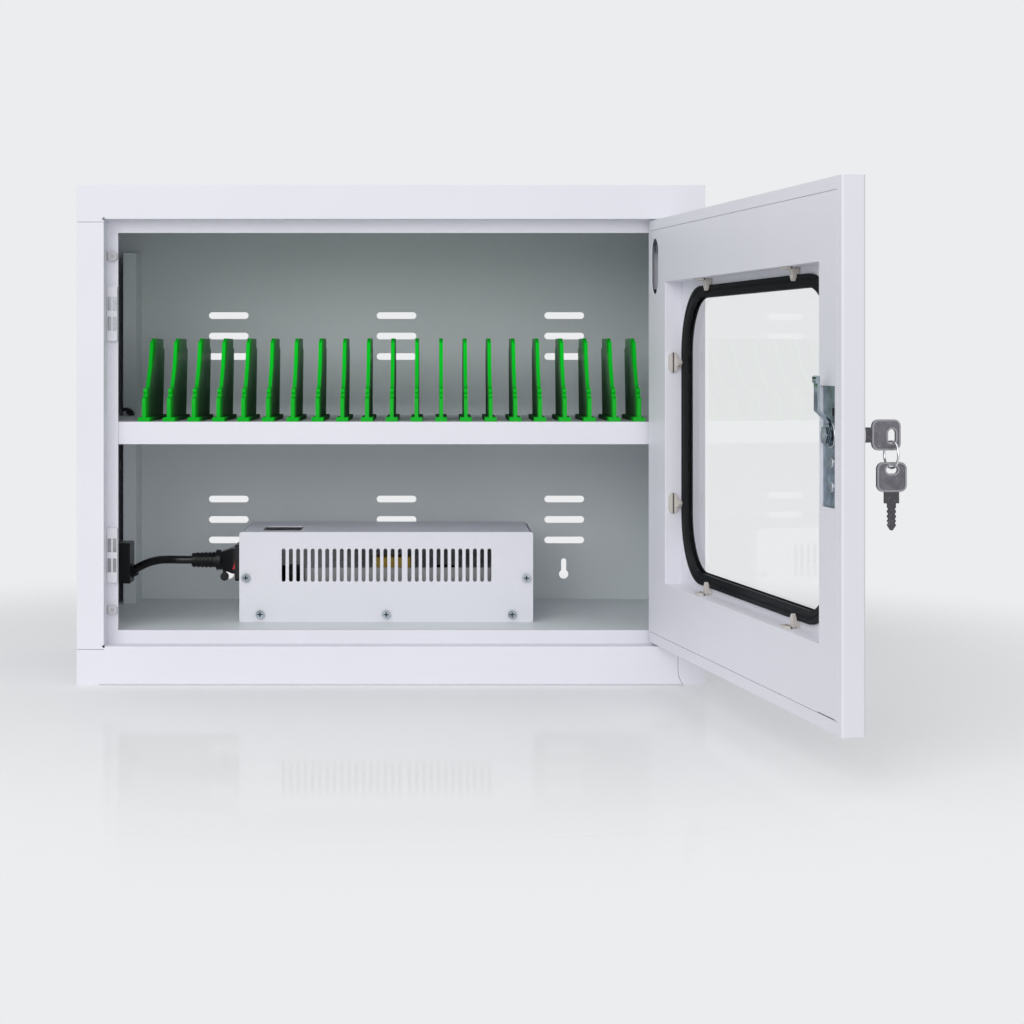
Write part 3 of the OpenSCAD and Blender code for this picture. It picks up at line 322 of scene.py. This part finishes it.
@dataclass(frozen=True)
class PowderCoat(Finish):
    """Baked powder paint: satin, with a fine orange-peel texture and faint clouding."""

    roughness: float = 0.42
    grain: float = 1.1 * MM
    speck: float = 0.5 * MM
    clouds: float = 9.0
    peel: float = 0.035
    relief: float = 0.12 * MM
    mottle: float = 0.025
    shine: float = 0.45

    def shader(self, graph: Graph) -> bpy.types.NodeSocket:
        """Builds the paint."""
        cloud = graph.noise(self.clouds, 3.0)
        speck = graph.noise(1.0 / self.speck, 1.0)
        peel = graph.noise(1.0 / self.grain)
        principled = graph.node("ShaderNodeBsdfPrincipled", {
            "Base Color": self.mottled(graph, cloud * 0.7 + speck * 0.3, self.mottle),
            "Roughness": peel.ramp(*NOISE_SPAN, self.roughness - 0.05, self.roughness + 0.06),
            "Specular IOR Level": self.shine,
            "Normal": graph.bump(peel, self.peel, self.relief),
        })
        return principled.outputs[0]


@dataclass(frozen=True)
class Moulded(Finish):
    """Moulded or extruded plastic and rubber."""

    roughness: float = 0.4
    grain: float = 0.4 * MM
    texture: float = 0.04
    relief: float = 0.08 * MM
    marks: float = 45.0
    mottle: float = 0.12
    coat: float = 0.0
    coat_roughness: float = 0.12
    shine: float = 0.35

    def flow(self, graph: Graph) -> Value:
        """Flow marks, drawn out along Y."""
        return graph.noise(self.marks, stretch=(1, 0.4, 1))

    def base_colour(self, graph: Graph) -> bpy.types.NodeSocket:
        """The colour, with faint flow marks."""
        return self.mottled(graph, self.flow(graph), self.mottle)

    def coat_weight(self, graph: Graph) -> Value | float:
        """How much clear gloss lies on the plastic."""
        return self.coat

    def shader(self, graph: Graph) -> bpy.types.NodeSocket:
        """Builds the plastic."""
        fine = graph.noise(1.0 / self.grain)
        principled = graph.node("ShaderNodeBsdfPrincipled", {
            "Base Color": self.base_colour(graph),
            "Roughness": fine.ramp(*NOISE_SPAN, self.roughness - 0.06, self.roughness + 0.08),
            "Coat Weight": self.coat_weight(graph),
            "Coat Roughness": self.coat_roughness,
            "Specular IOR Level": self.shine,
            "Normal": graph.bump(fine, self.texture, self.relief),
        })
        return principled.outputs[0]


@dataclass(frozen=True)
class DividerPlastic(Moulded):
    """Green see-through plastic: a painted glow on its edges, and painted shade along its sides
    behind them.

    The dividers stand a pitch apart, from the front and the base up. Over the lean's first two
    heights their front edge moves back by the lean's third length.
    """

    pitch: float = 20.0 * MM
    thickness: float = 3.0 * MM
    front: float = -99.4 * MM
    base: float = 209.0 * MM
    lean: tuple[float, float, float] = (14.0 * MM, 68.0 * MM, 52.0 * MM)
    heights: tuple[float, float] = (8.0 * MM, 62.0 * MM)
    fade: tuple[float, float] = (5.0 * MM, 30.0 * MM)
    unevenness: float = 30.0 * MM
    # Painted glow: on the edges low down and high up, then on the sides just behind the front.
    edge: Colour = (0.004, 0.46, 0.022)
    high_edge: Colour = (0.004, 0.70, 0.030)
    lit: Colour = (0.003, 0.58, 0.016)
    # Painted light on the back of the sides, higher up.
    upper_side_light: Colour = (0.25, 0.46, 0.30)
    side_coat: float = 0.06

    def on_edge(self, graph: Graph) -> Value:
        """1 on the front and on the narrow edges, 0 on the sides."""
        half = self.thickness / 2
        across = graph.axis("X").nearest(self.pitch)
        narrow = across.ramp(half - 0.45 * MM, half - 0.1 * MM, 1.0, 0.0)
        face = graph.axis("Y").ramp(self.front + 0.4 * MM, self.front + 1.2 * MM, 1.0, 0.0)
        return face.larger(narrow)

    def coat_weight(self, graph: Graph) -> Value | float:
        """Glossy edges and nearly matt sides."""
        return self.on_edge(graph) * (self.coat - self.side_coat) + self.side_coat

    def base_colour(self, graph: Graph) -> bpy.types.NodeSocket:
        """The colour: a painted glow on the edges, brighter higher up, fading along the sides to
        painted shade that is painted lighter higher up.
        """
        low, high, setback = self.lean
        height = graph.axis("Z") - self.base
        behind = graph.axis("Y") - self.front - height.ramp(low, high, 0.0, setback)
        flow = self.flow(graph)
        up = (height + (flow - 0.5) * self.unevenness).ramp(*self.heights)
        back = graph.mix(up, self.tint, self.upper_side_light)
        sides = graph.blend(behind.ramp(*self.fade), (*self.lit, 1.0), back)
        edge = graph.mix(height.ramp(*self.heights), self.edge, self.high_edge)
        return graph.blend(self.on_edge(graph) * flow.ramp(0.1, 0.6, 0.85, 1.0), sides, edge)


@dataclass(frozen=True)
class ChargerParts(Moulded):
    """The parts inside the charger, told apart by their place.

    Over the green board stand a grey heat sink in front and a yellow transformer round the coil's
    middle; all else above the board is near black.
    """

    board_top: float = 55.0 * MM
    sink_back: float = -31.9 * MM
    coil: tuple[float, float] = (-1.4 * MM, 16.0 * MM)
    sink: Colour = (0.46, 0.46, 0.48)
    wound: Colour = (0.45, 0.30, 0.03)
    dark: Colour = (0.012, 0.012, 0.014)

    def base_colour(self, graph: Graph) -> bpy.types.NodeSocket:
        """The colour, by the place in the charger."""
        middle, half = self.coil
        wound = abs(graph.axis("X") - middle).ramp(half + 0.2 * MM, half + 0.6 * MM, 1.0, 0.0)
        sink = graph.axis("Y").ramp(self.sink_back, self.sink_back + 0.4 * MM, 1.0, 0.0)
        above = graph.axis("Z").ramp(self.board_top, self.board_top + 0.3 * MM)
        parts = graph.blend(sink, graph.mix(wound, self.dark, self.wound), (*self.sink, 1.0))
        return graph.blend(above, (*self.tint, 1.0), parts)


@dataclass(frozen=True)
class GroovedClip(Moulded):
    """Off-white clips, with painted shade in the groove along their base."""

    groove: float = -192.3 * MM
    half: float = 0.5 * MM
    shadow: Colour = (0.10, 0.09, 0.08)

    def base_colour(self, graph: Graph) -> bpy.types.NodeSocket:
        """The colour, by the place across the door's thickness."""
        sine, cosine = math.sin(DOOR_OPEN), math.cos(DOOR_OPEN)
        inward = graph.axis("X") * -sine + graph.axis("Y") * cosine
        groove = abs(inward - self.groove).ramp(self.half, self.half + 0.25 * MM, 1.0, 0.0)
        return graph.mix(groove, self.tint, self.shadow)


@dataclass(frozen=True)
class Plated(Finish):
    """Plated steel: metallic, with fine drawn lines and uneven plating."""

    roughness: float = 0.3
    lines: Sequence[float] = (1.0, 1.0, 8.0)
    fineness: float = 700.0
    patches: float = 160.0
    blotch: float = 0.2
    edge: Colour = (1.0, 1.0, 1.0)

    def base_colour(self, graph: Graph, patch: Value) -> bpy.types.NodeSocket:
        """The metal's colour, by a patchy noise."""
        return self.mottled(graph, patch, self.blotch)

    def shader(self, graph: Graph) -> bpy.types.NodeSocket:
        """Builds the metal."""
        drawn = graph.noise(self.fineness, 3.0, self.lines)
        patch = graph.noise(self.patches, 3.0)
        streaks = drawn * 0.6 + patch * 0.4
        principled = graph.node("ShaderNodeBsdfPrincipled", {
            "Base Color": self.base_colour(graph, patch),
            "Metallic": 1.0,
            "Specular Tint": (*self.edge, 1.0),
            "Roughness": streaks.ramp(*NOISE_SPAN, self.roughness - 0.08, self.roughness + 0.1),
            "Normal": graph.bump(drawn, 0.05, 0.05 * MM),
        })
        return principled.outputs[0]


@dataclass(frozen=True)
class ScrewSteel(Plated):
    """Plated screws, with painted shade in the cross and under the head.

    The face is the Y of the heads' foremost points.
    """

    face: float = -52.0 * MM
    # Painted shade in the cross and under the head.
    recess_shade: Colour = (0.03, 0.035, 0.045)

    def base_colour(self, graph: Graph, patch: Value) -> bpy.types.NodeSocket:
        """The metal's colour, with painted shade behind the head's face."""
        unshaded = self.mottled(graph, patch, self.blotch)
        behind = graph.axis("Y").ramp(self.face + 0.5 * MM, self.face + 1.0 * MM)
        return graph.blend(behind, unshaded, (*self.recess_shade, 1.0))


@dataclass(frozen=True)
class KeyNickel(Plated):
    """Dark nickel keys: a pitted field with painted glints, inside a rim with a painted highlight,
    and a darker blade.

    Both keys lie flat along the plane whose distance from the origin is the middle. Half is
    their half thickness.
    """

    middle: float = 0.0
    half: float = 1.15 * MM
    # The painted highlight on the rim, and the size of the painted glints on the field.
    rim_highlight: Colour = (0.36, 0.35, 0.38)
    glint_size: float = 0.9 * MM
    blade_shade: float = 0.55

    def base_colour(self, graph: Graph, patch: Value) -> bpy.types.NodeSocket:
        """The metal's colour, by the height over the key's middle, with a painted highlight on the
        rim and painted glints.
        """
        sine, cosine = math.sin(DOOR_OPEN), math.cos(DOOR_OPEN)
        across = graph.axis("X") * cosine + graph.axis("Y") * sine
        height = abs(across - self.middle)
        rim = height.ramp(self.half - 0.11 * MM, self.half - 0.04 * MM)
        blade = height.ramp(self.half - 0.28 * MM, self.half - 0.22 * MM)
        speck = graph.noise(1.0 / self.glint_size, 1.0).ramp(0.66, 0.74)
        pitted = self.mottled(graph, patch, self.blotch)
        dull = graph.blend(blade, pitted, (*self.darker(self.blade_shade), 1.0))
        return graph.blend((rim * 0.75).larger(speck * 0.7), dull, (*self.rim_highlight, 1.0))


@dataclass(frozen=True)
class ClearPane(Finish):
    """A clear sheet: mostly see-through, with a faint mirror image that grows at a flat angle."""

    mirror: float = 0.08
    least_mirror: float = 0.02
    roughest: float = 0.004
    index: float = 1.45
    film: float = 30.0
    mottle: float = 0.03

    def shader(self, graph: Graph) -> bpy.types.NodeSocket:
        """Builds the pane."""
        film = graph.noise(self.film)
        fresnel = Value(graph, graph.node("ShaderNodeFresnel", {"IOR": self.index}).outputs[0])
        through = graph.node("ShaderNodeBsdfTransparent", {"Color": (*self.tint, 1.0)})
        gloss = graph.node("ShaderNodeBsdfPrincipled", {
            "Base Color": self.mottled(graph, film, self.mottle),
            "Metallic": 1.0,
            "Roughness": film.ramp(*NOISE_SPAN, 0.0, self.roughest),
        })
        mixed = graph.node("ShaderNodeMixShader", {
            0: (fresnel * self.mirror).larger(self.least_mirror),
            1: through.outputs[0],
            2: gloss.outputs[0],
        })
        return mixed.outputs[0]


@dataclass(frozen=True)
class StudioFloor:
    """A pale floor with a faint mirror image that fades out into the background.

    The fade begins at the near distance from the origin and ends at the far one.
    """

    tint: Colour = (0.90, 0.90, 0.91)
    gloss_tint: Colour = (0.9, 0.9, 0.92)
    gloss_roughness: float = 0.06
    mirror: float = 0.10
    near: float = 0.4
    far: float = 0.85

    def material(self) -> bpy.types.Material:
        """Makes the floor's material."""
        made = bpy.data.materials.new("studio_floor")
        made.use_nodes = True
        graph = Graph(made.node_tree)
        across = graph.axis("X")
        along = graph.axis("Y")
        distance = (across * across + along * along) ** 0.5
        matt = graph.node("ShaderNodeBsdfDiffuse", {"Color": (*self.tint, 1.0)})
        gloss = graph.node(
            "ShaderNodeBsdfGlossy",
            {"Color": (*self.gloss_tint, 1.0), "Roughness": self.gloss_roughness},
        )
        surface = graph.node(
            "ShaderNodeMixShader", {0: self.mirror, 1: matt.outputs[0], 2: gloss.outputs[0]}
        )
        clear = graph.node("ShaderNodeBsdfTransparent")
        faded = graph.node("ShaderNodeMixShader", {
            0: distance.ramp(self.near, self.far),
            1: surface.outputs[0],
            2: clear.outputs[0],
        })
        graph.node("ShaderNodeOutputMaterial", {"Surface": faded.outputs[0]})
        return made


PAINT = PowderCoat("white_powder_coat", Slot.POWDER, (0.80, 0.80, 0.865))
# The white paint again, painted darker and greener: painted shade on the cabinet's inside.
SHADED_INSIDE_PAINT = PowderCoat("inner_painted_shade_coat", Slot.POWDER, (0.76, 0.81, 0.82))
PAINT_CHARGER = PowderCoat(
    "charger_powder_coat", Slot.POWDER, (0.79, 0.79, 0.85), grain=0.9 * MM, peel=0.05
)
GREEN = DividerPlastic(
    "green_plastic", Slot.GREEN, (0.045, 0.20, 0.060), roughness=0.34, shine=0.0, coat=0.16
)
BLACK = Moulded(
    "black_plastic", Slot.BLACK, (0.005, 0.0055, 0.0065), roughness=0.36, texture=0.06, shine=0.28
)
CATCH = Moulded("catch_plastic", Slot.CATCH, (0.78, 0.78, 0.83), roughness=0.38, mottle=0.04)
BUMPER = Moulded("bumper_plastic", Slot.BUMPER, (0.60, 0.60, 0.62), roughness=0.5, mottle=0.06)
CLIP = GroovedClip("clip_plastic", Slot.CLIP, (0.62, 0.585, 0.555), roughness=0.30, coat=0.15)
RED = Moulded("red_plastic", Slot.RED, (0.55, 0.015, 0.02), roughness=0.22, coat=0.3, mottle=0.05)
SEAL = Moulded(
    "seal_rubber", Slot.SEAL, (0.016, 0.017, 0.019), roughness=0.42, shine=0.0, coat=0.12
)
SHEATH = Moulded("lead_sheath", Slot.SHEATH, (0.006, 0.006, 0.0065), roughness=0.26, shine=0.4)
BOARD = ChargerParts("circuit_board", Slot.BOARD, (0.03, 0.15, 0.07), roughness=0.45)
PANE = ClearPane("clear_pane", Slot.PANE, (0.998, 0.998, 0.999))
ZINC = Plated("zinc_steel", Slot.ZINC, (0.60, 0.62, 0.65), roughness=0.28)
ZINC_PLATE = Plated(
    "zinc_plate", Slot.ZINC_PLATE, (0.42, 0.48, 0.53), roughness=0.38, blotch=0.3,
    edge=(0.62, 0.68, 0.74),
)
PIN_ZINC = Plated("pin_zinc", Slot.ZINC, (0.30, 0.34, 0.40), roughness=0.3)
LEVER_ZINC = Plated(
    "lever_zinc", Slot.ZINC_PLATE, (0.36, 0.43, 0.47), roughness=0.16, blotch=0.25
)
POLE_STEEL = Plated("pole_steel", Slot.ZINC, (0.30, 0.31, 0.33), roughness=0.3, blotch=0.15)
SCREW = ScrewSteel("screw_steel", Slot.ZINC, (0.42, 0.47, 0.52), roughness=0.16, blotch=0.3)
SPRING = Plated("spring_steel", Slot.SPRING, (0.15, 0.18, 0.22), roughness=0.35)
BRIGHT = Plated("bright_steel", Slot.RING, (0.74, 0.74, 0.75), roughness=0.14, blotch=0.05)


# ---- Meshes ----


def link(name: str, data: bpy.types.ID) -> bpy.types.Object:
    """Adds an object to the scene and returns it."""
    made = bpy.data.objects.new(name, data)
    bpy.context.scene.collection.objects.link(made)
    return made


def soften(
    mesh: bmesh.types.BMesh, edges: Iterable[bmesh.types.BMEdge], width: float, steps: int
) -> None:
    """Bevels edges round.

    Args:
        mesh: The mesh that holds them.
        edges: The edges.
        width: The bevel's width.
        steps: Its segments.
    """
    bmesh.ops.bevel(
        mesh, geom=list(edges), offset=width, offset_type="OFFSET", segments=steps,
        profile=0.5, affect="EDGES", clamp_overlap=True, material=-1,
    )


def turned(
    mesh: bmesh.types.BMesh, outline: Sequence[tuple[float, float]], centre: Vector, steps: int = 40
) -> None:
    """Adds a closed ring turned about a line along X.

    Args:
        mesh: The mesh that takes it.
        outline: The ring's closed section, each point as distance along X and radius.
        centre: The point of the line from which the distances are measured.
        steps: Sides of the ring.
    """
    verts = [mesh.verts.new(centre + Vector((along, 0.0, radius))) for along, radius in outline]
    edges = [mesh.edges.new((a, b)) for a, b in zip(verts, verts[1:] + verts[:1])]
    bmesh.ops.spin(
        mesh, geom=verts + edges, cent=centre, axis=(1, 0, 0), angle=math.tau, steps=steps,
        use_merge=True,
    )


def keep_faces_flat(piece: bpy.types.Object) -> None:
    """Weights the normals by face, so that flat panels stay flat beside their bevels."""
    weighting = piece.modifiers.new("flat_faces", "WEIGHTED_NORMAL")
    weighting.mode = "FACE_AREA"
    weighting.keep_sharp = True


def finished(
    mesh: bmesh.types.BMesh, name: str, finish: Finish, smooth_below: float = 40.0
) -> bpy.types.Object:
    """Turns a bmesh into a dressed object.

    Args:
        mesh: The bmesh, which is freed.
        name: The object's name.
        finish: Its finish.
        smooth_below: Edges that bend less than this, in degrees, are shaded smooth.

    Returns:
        The object, linked to the scene.
    """
    data = bpy.data.meshes.new(name)
    mesh.to_mesh(data)
    mesh.free()
    data.shade_smooth()
    data.set_sharp_from_angle(angle=math.radians(smooth_below))
    data.materials.append(finish.material())
    piece = link(name, data)
    keep_faces_flat(piece)
    return piece


@dataclass
class Assembly:
    """A group of pieces that are dressed alike.
    """

    frame: dict

    def body_of(self, node: str) -> str:
        """The name of the body that a CAD node belongs to."""
        return self.frame["nodes"][node]["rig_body"]

    def merged(self, node: str) -> bmesh.types.BMesh:
        """A CAD node's mesh, with its doubles merged and its flat faces joined."""
        mesh = bmesh.new()
        mesh.from_mesh(self.frame["nodes"][node].data)
        bmesh.ops.remove_doubles(mesh, verts=mesh.verts, dist=MERGE_BELOW)
        bmesh.ops.dissolve_limit(
            mesh, angle_limit=FLAT_BELOW, verts=mesh.verts, edges=mesh.edges, delimit={"NORMAL"}
        )
        return mesh

    def dressed(
        self,
        node: str,
        finish: Finish,
        width: float = 0.3 * MM,
        steps: int = 2,
        sharp_above: float = 50.0,
    ) -> bpy.types.Object:
        """Replaces a CAD node by its own shape with softened edges and a finish.

        Args:
            node: The node's name.
            finish: The finish.
            width: The width of the bevels.
            steps: Their segments.
            sharp_above: Edges that bend more than this, in degrees, are bevelled.

        Returns:
            The new piece.
        """
        mesh = self.merged(node)
        limit = math.radians(sharp_above)
        edges = [
            edge for edge in mesh.edges
            if len(edge.link_faces) == 2 and edge.calc_face_angle(0.0) > limit
        ]
        soften(mesh, edges, width, steps)
        piece = finished(mesh, f"{node}_finished", finish)
        self.seat(piece, node, finish)
        log.info("%s: %d edges softened", node, len(edges))
        return piece

    def seat(
        self, piece: bpy.types.Object, node: str, finish: Finish, replaced: bool = True
    ) -> None:
        """Lets a piece ride with a CAD node's body.

        Args:
            piece: The piece.
            node: The CAD node.
            finish: Not used.
            replaced: Whether the piece stands for the node.
        """
        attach(piece, self.body_of(node))
        if replaced:
            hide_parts(node)

    def painted(self, node: str, finish: Finish) -> None:
        """Gives a CAD node its finish and leaves its mesh as it is."""
        data = self.frame["nodes"][node].data
        data.materials.clear()
        data.materials.append(finish.material())


# ---- Sub-assemblies ----


@dataclass
class Cabinet(Assembly):
    """The folded cabinet, its catches and its bumpers."""

    bend: float = 0.5 * MM
    inner_bend: float = 0.25 * MM
    rear_depth: float = 0.01 * MM
    outside: Sequence[str] = ("top_panel", "bottom_panel", "side_panel_left", "side_panel_right")
    inside: Sequence[str] = ("uprights", "floor_panel")

    def build(self) -> None:
        """Dresses the cabinet's pieces."""
        for node in self.outside:
            self.dressed(node, PAINT, self.bend, 3)
        # The inside pieces take the paint with painted shade.
        for node in self.inside:
            self.dressed(node, SHADED_INSIDE_PAINT, self.inner_bend)
        self.paint_rear(self.dressed("back_panel", SHADED_INSIDE_PAINT, self.inner_bend))
        self.dressed("catch_housings", CATCH, 0.35 * MM, 3)
        self.dressed("catch_poles", POLE_STEEL, 0.15 * MM)
        self.dressed("door_bumpers", BUMPER, 0.9 * MM, 4)
        self.dressed("hinge_pin_lower", ZINC)

    def paint_rear(self, back: bpy.types.Object) -> None:
        """Gives the back panel's outer face the outside paint; its other faces keep the paint with
        painted shade.
        """
        back.data.materials.append(PAINT.material())
        rear = max(vert.co.y for vert in back.data.vertices)
        for face in back.data.polygons:
            if face.center.y > rear - self.rear_depth:
                face.material_index = 1


@dataclass
class PhoneShelf(Assembly):
    """The shelf, its clips and the green dividers."""

    dividers: int = 21

    def build(self) -> None:
        """Dresses the shelf's pieces."""
        self.dressed("shelf", PAINT, 0.4 * MM, 3)
        self.dressed("shelf_clips", BLACK, 0.4 * MM)
        for number in range(1, self.dividers + 1):
            self.dressed(f"divider_{number:02d}", GREEN, 0.7 * MM, 3)


@dataclass
class Charger(Assembly):
    """The charger in the lower compartment."""

    def build(self) -> None:
        """Dresses the charger's pieces."""
        self.dressed("charger_tray", PAINT_CHARGER)
        self.dressed("charger_cover", PAINT_CHARGER)
        self.dressed("charger_screws", SCREW, 0.45 * MM, 3)
        self.dressed("charger_supply", BOARD)
        self.dressed("charger_inlet", BLACK, 0.5 * MM, 3)
        self.dressed("charger_switch", RED, 0.5 * MM, 3)


@dataclass
class MainsLead(Assembly):
    """The short mains lead from the wall inlet to the charger."""

    diameter: float = 6.9 * MM
    # The lead's centre line, in millimetres.
    route: Sequence[Sequence[float]] = (
        (-219.5, -5, 81.2), (-217.3, -5.3, 82.4), (-215.1, -5.5, 83.5), (-211.4, -6.1, 85.3),
        (-208, -6.9, 86.7), (-204.6, -7.9, 87.8), (-201.4, -9.1, 88.6), (-198.2, -10.2, 89.2),
        (-194.9, -11.4, 89.5), (-191.4, -12.5, 89.7), (-187.8, -13.5, 89.8),
        (-184, -14.3, 89.8), (-179.8, -14.8, 89.8), (-175.3, -15, 89.8), (-172.8, -15, 89.8),
        (-170.3, -15, 89.8),
    )
    sleeve_length: float = 20.5 * MM
    sleeve_radius: tuple[float, float] = (5.7 * MM, 6.3 * MM)
    ribs: int = 5
    rib_width: float = 1.9 * MM
    rib_height: float = 0.6 * MM
    rib_lean: float = 0.24
    merge_below: float = 0.001 * MM
    points: list[Vector] = field(init=False)

    def __post_init__(self) -> None:
        """Turns the route into metres."""
        self.points = [Vector(point) * MM for point in self.route]

    def length(self) -> float:
        """The lead's length along its points."""
        return sum((b - a).length for a, b in zip(self.points, self.points[1:]))

    def sleeve_ribs(self) -> bpy.types.Object:
        """The slanted ribs round the connector's sleeve."""
        mesh = bmesh.new()
        start = self.points[-1]
        pitch = self.sleeve_length / (self.ribs + 1)
        low, high = self.sleeve_radius
        for number in range(1, self.ribs + 1):
            middle = number * pitch
            radius = low + (high - low) * middle / self.sleeve_length
            foot, crest = self.rib_width / 2, self.rib_width / 4
            sunk, top = radius - self.rib_height, radius + self.rib_height
            turned(mesh, [
                (middle - foot, sunk), (middle - foot, radius), (middle - crest, top),
                (middle + crest, top), (middle + foot, radius), (middle + foot, sunk),
            ], start)
        for vert in mesh.verts:
            vert.co.x += self.rib_lean * (vert.co.z - start.z)
        bmesh.ops.remove_doubles(mesh, verts=mesh.verts, dist=self.merge_below)
        bmesh.ops.recalc_face_normals(mesh, faces=mesh.faces)
        piece = finished(mesh, "connector_ribs", BLACK)
        self.seat(piece, "lead_connector", BLACK, replaced=False)
        return piece

    def sheath(self) -> bpy.types.Object:
        """The lead's sheath, a round tube along its points."""
        curve = bpy.data.curves.new("mains_lead_sheath", "CURVE")
        curve.dimensions = "3D"
        curve.bevel_depth = self.diameter / 2
        curve.bevel_resolution = 8
        curve.resolution_u = 6
        curve.use_fill_caps = True
        spline = curve.splines.new("BEZIER")
        spline.bezier_points.add(len(self.points) - 1)
        for knot, point in zip(spline.bezier_points, self.points):
            knot.co = point
            knot.handle_left_type = "AUTO"
            knot.handle_right_type = "AUTO"
        curve.materials.append(SHEATH.material())
        lead = link("mains_lead_sheath", curve)
        self.seat(lead, "mains_lead", SHEATH)
        return lead

    def build(self) -> None:
        """Lays the lead and dresses what is on its ends."""
        self.dressed("mains_inlet", BLACK, 1.2 * MM, 4)
        connector = self.dressed("lead_connector", BLACK, 1.4 * MM, 4)
        lead = self.sheath()
        self.sleeve_ribs()


@dataclass
class Door(Assembly):
    """The door's pans, its window and its hinges."""

    def build(self) -> None:
        """Dresses the door's pieces."""
        self.dressed("door_outer", PAINT, 0.4 * MM, 3)
        self.dressed("door_inner", PAINT, 0.4 * MM, 3)
        self.dressed("window_pane", PANE, 0.2 * MM, 1)
        self.dressed("window_seal", SEAL, 0.5 * MM, 3)
        self.dressed("window_clips", CLIP, 0.25 * MM)
        self.dressed("hinge_bracket", ZINC, 0.2 * MM)
        self.dressed("hinge_pin_upper", PIN_ZINC, 0.4 * MM, 3)
        self.painted("hinge_spring", SPRING)


@dataclass
class Lock(Assembly):
    """The cam lock with its plate, lever and keys."""

    def key_finish(self) -> KeyNickel:
        """The keys' finish, fitted to the plane that both keys lie in."""
        across = Vector((math.cos(DOOR_OPEN), math.sin(DOOR_OPEN), 0.0))
        spare_key = self.frame["nodes"]["spare_key"].data
        reach = [across.dot(vert.co) for vert in spare_key.vertices]
        return KeyNickel(
            "dark_nickel", Slot.KEY, (0.175, 0.17, 0.19), roughness=0.36, lines=(1, 1, 1),
            blotch=0.25, middle=(max(reach) + min(reach)) / 2, half=(max(reach) - min(reach)) / 2,
        )

    def build(self) -> None:
        """Dresses the lock's pieces."""
        self.dressed("lock_housing", ZINC, 0.4 * MM, 3)
        self.dressed("lock_plate", ZINC_PLATE, 0.2 * MM)
        self.dressed("lock_rivets", ZINC, 0.7 * MM, 4)
        self.dressed("lock_plug", ZINC)
        self.dressed("latch_lever", LEVER_ZINC, 0.4 * MM, 3)
        self.dressed("lever_nut", LEVER_ZINC, 0.35 * MM)
        nickel = self.key_finish()
        log.info("keys: %.2f mm thick", nickel.half * 2 / MM)
        self.dressed("key_in_lock", nickel, 0.15 * MM)
        self.dressed("spare_key", nickel, 0.15 * MM)
        self.dressed("key_ring", BRIGHT, 0.2 * MM, 1, sharp_above=80.0)


# ---- Studio ----


@dataclass(frozen=True)
class Softbox:
    """A square lamp that hangs in one place and faces another."""

    name: str
    place: Point
    target: Point
    side: float
    watts: float

    def hang(self) -> None:
        """Adds the lamp to the scene."""
        data = bpy.data.lights.new(self.name, "AREA")
        data.shape = "SQUARE"
        data.size = self.side
        data.energy = self.watts
        made = link(self.name, data)
        made.location = self.place
        facing = Vector(self.target) - Vector(self.place)
        made.rotation_euler = facing.to_track_quat("-Z", "Y").to_euler()


@dataclass
class Studio:
    """The floor, the lamps, the background and the camera."""

    focal_px: float = 2187.5
    centre_px: tuple[float, float] = (435.0, 358.3)
    eye: Point = (0.035, -1.865, 0.26015)
    sensor: float = 36.0
    clip_start: float = 0.05
    background: Colour = (0.838, 0.846, 0.855)
    ambient: float = 0.57
    floor: StudioFloor = StudioFloor()
    floor_reach: float = 3.0
    lamps: Sequence[Softbox] = (
        Softbox("key_softbox", (-1.0, -2.4, 1.2), (0.0, 0.0, 0.2), side=1.6, watts=25.0),
        Softbox("fill_softbox", (0.5, -2.8, 0.6), (0.05, -0.1, 0.2), side=1.4, watts=8.5),
        Softbox("top_softbox", (0.0, -0.2, 2.1), (0.0, -0.1, 0.0), side=2.2, watts=12.0),
    )

    def build(self) -> None:
        """Sets up the whole studio."""
        self.camera()
        self.world()
        self.ground()
        for lamp in self.lamps:
            lamp.hang()

    def camera(self) -> None:
        """Places the camera at the photograph's viewpoint, looking level along +Y."""
        data = bpy.data.cameras.new("camera")
        data.sensor_width = self.sensor
        data.lens = self.focal_px * self.sensor / PHOTO_SIDE
        data.shift_x = (PHOTO_SIDE / 2 - self.centre_px[0]) / PHOTO_SIDE
        data.shift_y = (self.centre_px[1] - PHOTO_SIDE / 2) / PHOTO_SIDE
        data.clip_start = self.clip_start
        made = link("camera", data)
        level = Matrix.Rotation(math.radians(90), 4, "X")
        made.matrix_world = Matrix.Translation(self.eye) @ level
        bpy.context.scene.camera = made

    def world(self) -> None:
        """Makes a pale background, which lights the object less than it shows."""
        world = bpy.data.worlds.new("studio")
        bpy.context.scene.world = world
        world.use_nodes = True
        graph = Graph(world.node_tree)
        path = graph.node("ShaderNodeLightPath")
        seen = Value(graph, path.outputs["Is Camera Ray"])
        for ray in ("Is Glossy Ray", "Is Transmission Ray"):
            seen = seen.larger(Value(graph, path.outputs[ray]))
        strength = seen * (1.0 - self.ambient) + self.ambient
        shine = graph.node(
            "ShaderNodeBackground", {"Color": (*self.background, 1.0), "Strength": strength}
        )
        graph.node("ShaderNodeOutputWorld", {"Surface": shine.outputs[0]})

    def ground(self) -> None:
        """Lays the floor."""
        mesh = bmesh.new()
        bmesh.ops.create_grid(mesh, x_segments=8, y_segments=8, size=self.floor_reach)
        data = bpy.data.meshes.new("studio_floor")
        mesh.to_mesh(data)
        mesh.free()
        data.materials.append(self.floor.material())
        made = link("studio_floor", data)


def main() -> None:
    """Builds the studio and dresses every sub-assembly."""
    logging.basicConfig(level=logging.INFO, format="%(message)s")
    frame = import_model()
    bpy.context.scene.view_settings.view_transform = "Standard"
    Studio().build()
    for assembly in (MainsLead, Cabinet, PhoneShelf, Charger, Door, Lock):
        assembly(frame).build()
        log.info("%s done", assembly.__name__)


if __name__ == "__main__":
    main()
